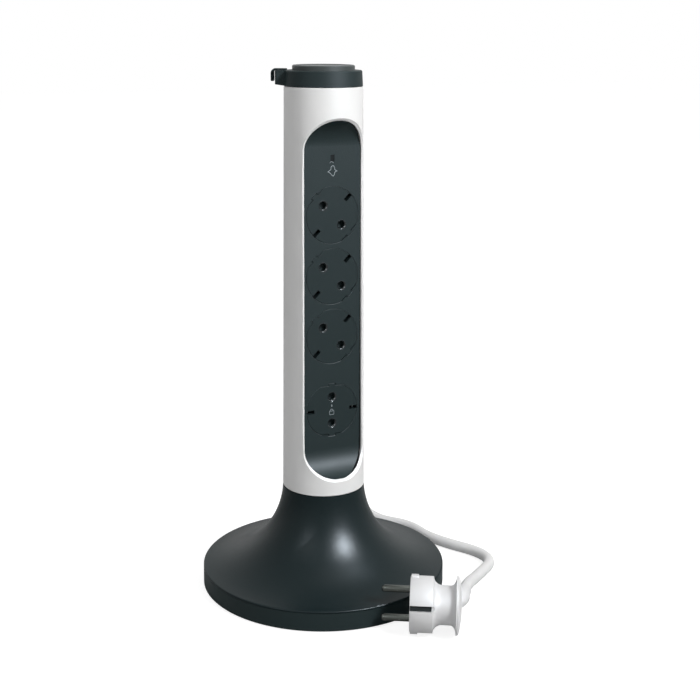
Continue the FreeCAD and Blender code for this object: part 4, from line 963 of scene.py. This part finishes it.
@dataclass
class AngledPlug:
    """The moulded plug with its pins, rims and strain relief, drawn along +X from its front."""

    front: Point = (59.10, -81.70, 19.4)
    turn: float = -5.0
    roll: float = -16.0
    radius: float = 18.6
    body_length: float = 15.3
    edge: float = 0.7
    edge_row: float = 0.2
    # Distance before the body's end, and how far the radius has dropped there
    body_end: Outline = ((0.5, 0.0), (0.12, 0.14))
    shoulder: float = 0.4
    waist_y: float = 15.2
    waist_z: float = 12.9
    waist_start: float = 21.0
    waist_end: float = 26.6
    fillet_steps: int = 9
    lip_start: float = 30.3
    lip_radius: float = 19.35
    lip_edge: float = 0.5
    rear: float = 34.1
    # Share of the lip's thickness, and how far the radius has dropped there, in millimetres
    rear_dome: Outline = (
        (0.07, 0.14), (0.18, 0.0), (0.32, 0.1), (0.44, 0.55), (0.54, 1.5), (0.65, 3.3), (0.77, 6.2),
        (0.88, 10.0), (0.96, 14.0), (1.0, 17.5))
    front_rim: float = 1.6
    front_step: float = 0.3
    front_recess: float = 0.45
    pin_offset: float = 9.5
    pin_radius: float = 2.4
    pin_length: float = 19.0
    pin_root: float = 2.0
    pin_collar: float = 0.6
    # Distance from the pin's tip, and radius
    pin_tip: Outline = ((0.0, 1.0), (0.12, 1.35), (0.45, 1.85), (1.0, 2.2))
    pin_tip_length: float = 1.8
    slot_length: float = 16.6
    slot_height: float = 3.7
    slot_depth: float = 2.4
    slot_arc_step: int = 15
    slot_cutter: float = 6.0
    cutter_start: float = -2.0
    earth_offset: float = 10.0
    earth_hole: Outline = ((-2.0, 2.6), (0.2, 2.6), (12.0, 2.5))
    earth_mouth: Outline = ((0.6, 2.58), (11.8, 2.45))
    mouth_wall: float = 0.5
    mouth_depth: float = 9.0
    rib_width: float = 9.0
    rib_length: float = 5.6
    rib_height: float = 0.75
    rib_sink: float = 0.2
    rib_end: float = 0.6
    rib_taper: tuple[float, float] = (0.96, 0.9)
    rib_edge: float = 0.22
    # Place along the sleeve, and radius
    sleeve_rows: Outline = (
        (2.5, 1.0), (3.0, 2.4), (4.5, 3.6), (7.0, 4.6), (10.5, 5.4), (14.0, 5.95), (17.8, 6.2), (18.1, 6.1),
        (18.2, 5.75), (18.6, 5.65), (24.0, 5.35), (29.3, 5.1), (30.2, 4.9), (30.5, 4.4))

    @property
    def place(self) -> Matrix:
        """Where the plug lies."""
        spot = Matrix.Translation(MainsCord().seen(*self.front) / 1000)
        return spot @ turned(self.turn - VIEW_TURN) @ turned(self.roll, "X")

    def _rows(self) -> list[tuple[float, ...]]:
        """List the sections from the front face to the domed rear.

        Returns:
            Place along X and radius of each, or half width and half height.
        """
        rows = [
            (0.0, self.radius - self.edge), (self.edge_row, self.radius - self.edge_row),
            (self.edge, self.radius)]
        rows += [(self.body_length - back, self.radius - drop) for back, drop in self.body_end]
        quarter = [math.pi / 2 * step / self.fillet_steps for step in range(self.fillet_steps + 1)]
        waist = (self.waist_y, self.waist_z)
        full = self.radius - self.shoulder
        reach = self.waist_start - self.body_length
        for a in quarter[1:]:
            at = self.body_length + reach * (1 - math.cos(a))
            rows.append((at, *(full - (full - half) * math.sin(a) for half in waist)))
        full = self.lip_radius - self.lip_edge
        flare = self.lip_start - self.waist_end
        for a in quarter:
            at = self.waist_end + flare * math.sin(a)
            rows.append((at, *(half + (full - half) * (1 - math.cos(a)) for half in waist)))
        thick = self.rear - self.lip_start
        rows += [(self.lip_start + thick * share, self.lip_radius - drop) for share, drop in self.rear_dome]
        return rows

    def _slot_cutter(self, side: int) -> Piece:
        """Model the long rounded cutter of one side slot.

        Args:
            side: 1 or -1, towards +Y or -Y.

        Returns:
            The cutter.
        """
        half = self.slot_height / 2
        centre = self.slot_length - half
        angles = [math.radians(angle) for angle in range(self.slot_arc_step, 180, self.slot_arc_step)]
        outline = [(self.cutter_start, -half), (centre, -half)]
        outline += [(centre + half * math.sin(a), -half * math.cos(a)) for a in angles]
        outline += [(centre, half), (self.cutter_start, half)]
        cutter = drawn_plate("slot_cutter", outline, self.slot_cutter)
        inner = self.radius - self.slot_depth
        apply_place(cutter, shifted(0, inner + self.slot_cutter if side > 0 else -inner, 0))
        return cutter

    def _rib(self) -> Piece:
        """Model the upper grip rib with its rounded edges.

        Returns:
            The rib.
        """
        middle = self.rib_length / 2
        bpy.ops.mesh.primitive_cube_add(size=1.0, location=in_metres(middle, 0, self.radius - self.rib_sink))
        size = (self.rib_length - self.rib_end, self.rib_width, 2 * self.rib_height)
        bpy.context.object.scale = in_metres(*size)
        rib = added("plug_rib")
        pick(rib, "FACE", lambda centre, normal: normal.z > FACING)
        resize(*self.rib_taper, 1.0, in_metres(middle, 0, 0))
        shut_mesh()
        apply_modifier(rib, "BEVEL", width=self.rib_edge / 1000, segments=3, limit_method="ANGLE")
        return rib

    def _body(self) -> None:
        """Model the moulding with its recessed front, side slots, earth hole and grip ribs."""
        body = drawn_bar("plug_moulding", self._rows(), corners=96)
        pick(body, "FACE", lambda centre, normal: normal.x < -FACING)
        for rim in (self.front_rim, self.front_step):
            bpy.ops.mesh.inset(thickness=rim / 1000)
        bpy.ops.transform.translate(value=in_metres(self.front_recess, 0, 0))
        shut_mesh()
        close_up(body)
        for side in (-1, 1):
            carve(body, self._slot_cutter(side))
        hole = drawn_bar("earth_hole_cutter", self.earth_hole, corners=32)
        apply_place(hole, shifted(0, self.earth_offset, 0))
        carve(body, hole)
        upper = self._rib()
        lower = copied(upper, "plug_rib_below")
        apply_place(lower, turned(180, "X"))
        body = joined([body, upper, lower], "plug_moulding")
        close_up(body, smooth_angle=30.0)
        settle(body, "plug_plastic", "plug_body", place=self.place)

    def _pins(self) -> None:
        """Model one pin with a rounded end and pair it."""
        tip = -self.pin_length
        rows = [(tip + at, radius) for at, radius in self.pin_tip]
        ends = (tip + self.pin_tip_length, -self.pin_collar, self.pin_root)
        rows += [(at, self.pin_radius) for at in ends]
        pair = paired(drawn_bar("plug_pin", rows, corners=40), self.pin_offset, "plug_pin_pair")
        # The pins take nickel darkened as painted shade, standing in for the dark surroundings they reflect
        settle(pair, "nickel", "plug_pins", place=self.place, finish="painted_shade_nickel")

    def _earth_lining(self) -> None:
        """Model the metal mouth inside the earth hole."""
        lining = drawn_bar("plug_earth_mouth", self.earth_mouth, corners=32)
        pick(lining, "FACE", lambda centre, normal: normal.x < -FACING)
        bpy.ops.mesh.inset(thickness=self.mouth_wall / 1000)
        pull(self.mouth_depth, 0, 0)
        shut_mesh()
        close_up(lining)
        settle(lining, "nickel", place=self.place @ shifted(0, self.earth_offset, 0))

    def _sleeve(self) -> None:
        """Model the tapered strain relief that leaves the rear sideways."""
        start, heading = MainsCord().sleeve_line()
        sleeve = drawn_bar("plug_bend_relief", self.sleeve_rows, corners=48)
        close_up(sleeve, smooth_angle=25.0)
        turn = heading.to_track_quat("X", "Z").to_matrix().to_4x4()
        settle(sleeve, "plug_plastic", "plug_sleeve", place=Matrix.Translation(start / 1000) @ turn)

    def build(self) -> None:
        """Build, place and dress the plug's pieces."""
        self._body()
        self._pins()
        self._earth_lining()
        self._sleeve()


# Small pieces on the tower


@dataclass
class GlandSleeve:
    """The ribbed strain relief over the gland's cone where the cord leaves the base."""

    start: float = 86.7
    height: float = 7.6
    length: float = 26.9
    thick_end: float = 6.75
    thick_edge: float = 0.4
    thin_end: float = 5.1
    thin_edge: float = 0.6
    thin_drop: float = 0.35
    grooves: int = 7
    first_groove: float = 3.0
    plain_length: float = 5.0
    # Step from the groove's middle, and how far the radius has dropped there
    groove_shape: Outline = ((-0.75, 0.0), (-0.55, 0.16), (0.35, 0.18), (0.55, 0.03))

    def build(self) -> None:
        """Build, place and dress the sleeve."""
        rows = [(0.0, self.thick_end - self.thick_edge), (self.thick_edge, self.thick_end)]
        pitch = (self.length - self.plain_length) / self.grooves
        for groove in range(self.grooves):
            at = self.first_groove + pitch * (groove + 0.5)
            radius = self.thick_end - (self.thick_end - self.thin_end) * at / self.length
            rows += [(at + step, radius - drop) for step, drop in self.groove_shape]
        rows.append((self.length - self.thin_edge, self.thin_end))
        rows.append((self.length, self.thin_end - self.thin_drop))
        sleeve = drawn_bar("gland_bend_relief", rows, corners=48)
        close_up(sleeve, smooth_angle=25.0)
        settle(sleeve, "gland_rubber", place=turned(HANK_TURN) @ shifted(self.start, 0, self.height))


@dataclass
class HookStrap:
    """The strap that springs from the ring's top and hangs past the lug."""

    direction: float = 154.0
    foot: float = 23.9
    lug_reach: float = 31.7
    gap: float = 0.55
    thickness: float = 2.3
    width: float = 6.0
    ring_top: float = 360.3
    rise: float = 1.0
    drop: float = 8.2
    bend_extra: float = 0.8
    bend_steps: int = 6
    foot_edge: float = 0.3
    outer_edge: float = 0.5
    inner_edge: float = 0.4
    # The corner under the bend: step in from the strap, and down from the ring's top
    corner: Outline = ((0.0, 0.9), (0.35, 0.25), (0.9, 0.0))
    edge: float = 0.8

    def build(self) -> None:
        """Build, place and dress the strap."""
        inner = self.lug_reach + self.gap
        outer = inner + self.thickness
        top = self.ring_top + self.rise
        low = top - self.drop
        radius = self.thickness + self.bend_extra
        outline = [
            (self.foot, self.ring_top), (self.foot, top - self.foot_edge), (self.foot + self.foot_edge, top)]
        for step in range(self.bend_steps + 1):
            angle = math.pi / 2 * step / self.bend_steps
            outline.append((outer - radius * (1 - math.sin(angle)), top - radius * (1 - math.cos(angle))))
        outline += [(outer, low + self.outer_edge), (outer - self.outer_edge, low)]
        outline += [(inner + self.inner_edge, low), (inner, low + self.inner_edge)]
        outline += [(inner - step, self.ring_top - fall) for step, fall in self.corner]
        strap = drawn_plate("hook_strap", outline, self.width)
        apply_place(strap, shifted(0, self.width / 2, 0))
        close_up(strap)
        side = self.width / 2000 - TOUCHING
        pick(strap, "EDGE", lambda a, b: abs(a.y) > side and abs(b.y) > side and a.y * b.y > 0)
        bpy.ops.mesh.bevel(offset=self.edge / 1000, segments=3, affect="EDGES")
        shut_mesh()
        close_up(strap, smooth_angle=40.0)
        settle(strap, "anthracite_plastic", "cable_hook", place=turned(self.direction))


@dataclass(frozen=True)
class Arch:
    """A curved stroke: its middle, outer radius and width in millimetres, and its angles in degrees."""

    middle: tuple[float, float]
    radius: float
    stroke: float
    start: int
    end: int
    steps: int = 8

    def outline(self) -> list[tuple[float, float]]:
        """List its corners, out along the wide side and back along the narrow one.

        Returns:
            The corners across the panel and up.
        """
        x, z = self.middle
        part = (self.end - self.start) / self.steps
        angles = [math.radians(self.start + part * step) for step in range(self.steps + 1)]
        inner = self.radius - self.stroke
        corners = [(x + self.radius * math.cos(a), z + self.radius * math.sin(a)) for a in angles]
        return corners + [(x + inner * math.cos(a), z + inner * math.sin(a)) for a in reversed(angles)]


@dataclass
class PanelMarks:
    """The light printed marks on the panel and on the lowest socket."""

    panel_front: float = -14.0
    print_depth: float = 0.05
    print_sink: float = 0.04
    surge_place: tuple[float, float] = (0.4, 295.9)
    surge_line: float = 0.38
    surge_arch: Arch = Arch((-0.6, 300.7), 1.5, 0.3, 20, 160)
    surge_star: Outline = (
        (-0.2, 3.8), (0.7, 3.5), (1.3, 2.4), (1.5, 0.9), (3.3, 0.05), (1.5, -0.9), (1.1, -2.5), (0.1, -3.65),
        (-0.8, -2.9), (-2.2, -1.4), (-4.0, -0.4), (-2.4, 0.6), (-1.7, 1.2), (-1.6, 2.6), (-0.9, 3.5))
    lock: Outline = ((-2.0, -0.6), (1.6, -0.6), (1.6, -3.2), (1.1, -3.5), (-1.5, -3.5), (-2.0, -3.2))
    lock_line: float = 0.32
    shackle: Arch = Arch((-0.2, -0.6), 1.3, 0.34, 0, 180)
    key: Outline = ((-0.55, 3.9), (0.15, 3.9), (0.25, 2.6), (-0.1, 2.2), (-0.6, 2.6))
    key_dot: Arch = Arch((0.0, 6.0), 0.5, 0.49, 0, 359)

    def _print(self, name: str, points: Outline, body: Body, stroke: float = 0.0,
               place: tuple[float, float] = (0.0, 0.0)) -> None:
        """Lay one mark on the panel's front.

        Args:
            name: The mark's name.
            points: Its outline's corners.
            body: The body it rides on.
            stroke: Width of its line, or 0 for a full mark.
            place: Where the outline's origin goes, across the panel and up.
        """
        mark = drawn_plate(name, points, self.print_depth + self.print_sink, stroke)
        close_up(mark)
        spot = shifted(place[0], self.panel_front + self.print_sink, place[1])
        settle(mark, "white_plastic", place=spot, body=body, finish="printed_mark")

    def build(self) -> None:
        """Print the surge mark, its arch and the signs on the lowest socket."""
        self._print("surge_mark", self.surge_star, Body.TOWER, self.surge_line, self.surge_place)
        self._print("surge_arch", self.surge_arch.outline(), Body.TOWER)
        lowest = SOCKETS[-1]
        middle = (0.0, lowest.height)
        self._print("lock_shackle", self.shackle.outline(), lowest.body, place=middle)
        self._print("lock_body", self.lock, lowest.body, self.lock_line, middle)
        self._print("key_mark", self.key, lowest.body, place=middle)
        self._print("key_dot", self.key_dot.outline(), lowest.body, place=middle)


@dataclass
class PinHoleLips:
    """The polished flare round each pin hole."""

    pin_offset: float = 9.5
    front: float = -14.0
    flare: float = 0.7
    hole: float = 2.5
    rim: float = 0.1
    # Depth behind the front, and how far the radius has dropped there
    crest: Outline = ((-0.03, 0.0), (-0.06, 0.12), (0.06, 0.3))
    depth: float = 1.2
    wall: float = 0.2

    def build(self) -> None:
        """Model one pair of lips and copy it to every socket."""
        wide = self.hole + self.flare + self.rim
        deep = self.flare + self.depth
        section = [(depth, wide - drop) for depth, drop in self.crest]
        section += [(self.flare, self.hole), (deep, self.hole), (deep, self.hole + self.wall)]
        section += [(self.wall, wide), section[0]]
        pair = paired(drawn_ring("pin_lip", section, self.front, corners=48), self.pin_offset, "pin_lips")
        for socket in SOCKETS:
            lips = copied(pair, f"pin_lips_{socket.number}")
            place = shifted(0, 0, socket.height) @ turned(socket.turn, "Y")
            settle(lips, "face_plastic", place=place, body=socket.body, finish="polished_lip")
        removed(pair)


@dataclass
class GrooveLiners:
    """The thin liner that half fills the groove round every face."""

    front: float = -13.9
    inner: float = 19.16
    outer: float = 19.6
    # Depth behind the front, and step in from the edge
    outer_edge: Outline = ((0.15, 0.0), (0.02, 0.14))
    inner_edge: Outline = ((0.0, 0.12), (0.1, 0.0))
    depth: float = 1.6

    def build(self) -> None:
        """Model one liner and copy it to every socket."""
        section = [(depth, self.outer - step) for depth, step in self.outer_edge]
        section += [(depth, self.inner + step) for depth, step in self.inner_edge]
        section += [(self.depth, self.inner), (self.depth, self.outer), section[0]]
        liner = drawn_ring("groove_liner", section, self.front, corners=128)
        close_up(liner)
        for socket in SOCKETS:
            ring = copied(liner, f"groove_liner_{socket.number}")
            settle(ring, "anthracite_plastic", place=shifted(0, 0, socket.height), finish="groove_liner")
        removed(liner)


@dataclass
class ReturnSprings:
    """The coil behind every face."""

    front: float = -9.65
    back: float = 12.55
    floor: float = 12.9
    radius: float = 3.0
    wire: float = 0.3
    turns: int = 6
    steps: int = 20
    travel: float = 15.0

    def _coil(self) -> Piece:
        """Model one closed coil round an axis through the origin.

        Returns:
            The coil.
        """
        count = self.turns * self.steps
        points = []
        for step in range(count + 1):
            angle = 2 * math.pi * step / self.steps
            along = self.front + (self.back - self.front) * step / count
            points.append(Vector((self.radius * math.cos(angle), along, self.radius * math.sin(angle))))
        activate(drawn_wire("coil_spring", "POLY", points, self.wire, roundness=3))
        bpy.ops.object.convert(target="MESH")
        coil = bpy.context.object
        close_up(coil, smooth_angle=60.0)
        return coil

    def build(self) -> None:
        """Copy the coil to every socket."""
        coil = self._coil()
        for socket in SOCKETS:
            spring = copied(coil, f"coil_spring_{socket.number}")
            place = shifted(0, 0, socket.height)
            settle(spring, "spring_steel", f"return_spring_{socket.number}", place=place)
            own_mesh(spring)
        removed(coil)


@dataclass
class HankTie:
    """The loose end of the strap round the hank's waist."""

    along: float = 216.0
    width: float = 8.4
    half: float = 10.55
    top: float = 31.9
    # Across the hank from its side, and up from its top
    shape: Outline = (
        (-6.0, 0.05), (-6.0, 0.75), (-1.2, 0.75), (0.35, 0.2), (0.9, -1.6), (1.1, -18.0), (0.35, -18.0),
        (0.2, -1.8), (-1.4, 0.05))
    edge: float = 0.18

    def build(self) -> None:
        """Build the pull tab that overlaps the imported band."""
        outline = [(self.half + x, self.top + z) for x, z in self.shape]
        tab = drawn_plate("tie_pull_tab", outline, self.width)
        apply_place(tab, shifted(0, self.width / 2, 0))
        close_up(tab)
        apply_modifier(tab, "BEVEL", width=self.edge / 1000, segments=2, limit_method="ANGLE")
        close_up(tab, smooth_angle=40.0)
        settle(tab, "foot_rubber", place=turned(HANK_TURN) @ shifted(self.along, 0, 0) @ turned(-90))


# Studio


@dataclass(frozen=True)
class Lamp:
    """A square area lamp: its place and side in metres, its power in watts, and whether it only glints."""

    name: str
    place: Point
    size: float
    power: float
    glossy_only: bool = False


@dataclass
class Studio:
    """Floor, world, lamps and camera."""

    camera_place: Point = (-350.2, -760.9, 392.7)
    camera_pitch: float = -14.835
    camera_roll: float = -0.326
    lens: float = 64.29
    sensor: float = 36.0
    floor_half: float = 6.0
    floor_white: float = 0.5
    world_light: float = 0.40
    shadow_share: float = 0.8
    glint_tint: Color = (0.80, 0.90, 1.0)
    lamp_aim: Point = (0.0, 0.0, 0.16)
    lamps: tuple[Lamp, ...] = (
        Lamp("key", (0.54, -1.21, 1.21), 0.36, 22.5),
        Lamp("glint", (0.50, -1.24, 1.18), 0.42, 128.0, True),
        Lamp("fill", (-1.22, -0.72, 1.2), 0.4, 2.0),
        Lamp("side_glint", (-1.22, -0.72, 1.2), 0.4, 14.0, True),
        Lamp("top", (0.35, -0.2, 2.2), 1.2, 6.0),
        Lamp("top_glint", (0.80, -0.38, 1.85), 0.35, 9.0, True))

    def build(self) -> None:
        """Set up the whole studio."""
        self._camera()
        self._world()
        self._floor()
        for lamp in self.lamps:
            self._light(lamp)
        bpy.context.scene.view_settings.view_transform = "Standard"

    def _camera(self) -> None:
        """Place the camera at the photograph's viewpoint."""
        data = bpy.data.cameras.new("camera")
        data.lens = self.lens
        data.sensor_width = self.sensor
        camera = listed("camera", data)
        tilt = turned(self.camera_pitch, "X") @ turned(self.camera_roll, "Y") @ turned(90, "X")
        camera.matrix_world = shifted(*self.camera_place) @ turned(-VIEW_TURN) @ tilt
        bpy.context.scene.camera = camera

    def _world(self) -> None:
        """Even light all round, and white where the camera or a reflection looks past the object."""
        world = bpy.data.worlds.new("studio")
        bpy.context.scene.world = world
        world.use_nodes = True
        world.node_tree.nodes.clear()
        wiring = Wiring(world.node_tree)
        light = wiring.add("Background", Color=(1, 1, 1, 1), Strength=self.world_light)
        white = wiring.add("Background", Color=(1, 1, 1, 1), Strength=1.0)
        path = wiring.add("LightPath").outputs
        clear = wiring.math("MAXIMUM", path["Is Camera Ray"], path["Is Transmission Ray"])
        seen = wiring.math("MAXIMUM", clear, path["Is Glossy Ray"])
        mix = self._mix(wiring, seen, light, white)
        wiring.add("OutputWorld", Surface=mix.outputs[0])

    def _mix(self, wiring: Wiring, share: object, first: Node, second: Node) -> Node:
        """Mix two shaders.

        Args:
            wiring: The material's or world's wiring.
            share: The second shader's share.
            first: The first shader.
            second: The second shader.

        Returns:
            The mixing node.
        """
        mix = wiring.add("MixShader", Fac=share)
        wiring.feed(mix, 1, first.outputs[0])
        wiring.feed(mix, 2, second.outputs[0])
        return mix

    def _floor(self) -> None:
        """Lay a white floor that keeps a soft shadow and shines white to the camera."""
        bpy.ops.mesh.primitive_plane_add(size=2 * self.floor_half, location=(0, 0, 0))
        floor = added("floor")
        material = bpy.data.materials.new("floor_paper")
        material.use_nodes = True
        wiring = Wiring(material.node_tree)
        paper = material.node_tree.nodes["Principled BSDF"]
        white = (self.floor_white, self.floor_white, self.floor_white, 1)
        wiring.feed_all(paper, Base_Color=white, Roughness=0.9, Specular_IOR_Level=0.0)
        glow = wiring.add("Emission", Strength=1.0 - self.shadow_share * self.floor_white * self.world_light)
        black = wiring.add("BsdfDiffuse", Color=(0, 0, 0, 1))
        dim = self._mix(wiring, 1.0 - self.shadow_share, paper, black)
        both = wiring.add("AddShader")
        wiring.feed(both, 0, dim.outputs[0])
        wiring.feed(both, 1, glow.outputs[0])
        choice = self._mix(wiring, wiring.add("LightPath").outputs["Is Camera Ray"], paper, both)
        wiring.feed(material.node_tree.nodes["Material Output"], "Surface", choice.outputs[0])
        floor.data.materials.append(material)

    def _light(self, lamp: Lamp) -> None:
        """Hang one lamp and aim it at the tower's middle.

        Args:
            lamp: The lamp.
        """
        data = bpy.data.lights.new(lamp.name, "AREA")
        data.size = lamp.size
        data.energy = lamp.power
        data.color = self.glint_tint if lamp.glossy_only else (1.0, 1.0, 1.0)
        light = listed(lamp.name, data)
        light.location = lamp.place
        light.visible_diffuse = not lamp.glossy_only
        aim = Vector(self.lamp_aim) - Vector(lamp.place)
        light.rotation_euler = aim.to_track_quat("-Z", "Y").to_euler()


def main() -> None:
    """Build everything in order."""
    logging.basicConfig(level=logging.INFO, format="%(message)s")
    GROUPS.build()
    PAINT.dress_nodes()
    assemblies = (
        Studio(), AngledPlug(), HankTie(), MainsCord(), GlandSleeve(), HookStrap(), PanelMarks(),
        PinHoleLips(), GrooveLiners(), ReturnSprings())
    for assembly in assemblies:
        assembly.build()


if __name__ == "__main__":
    main()
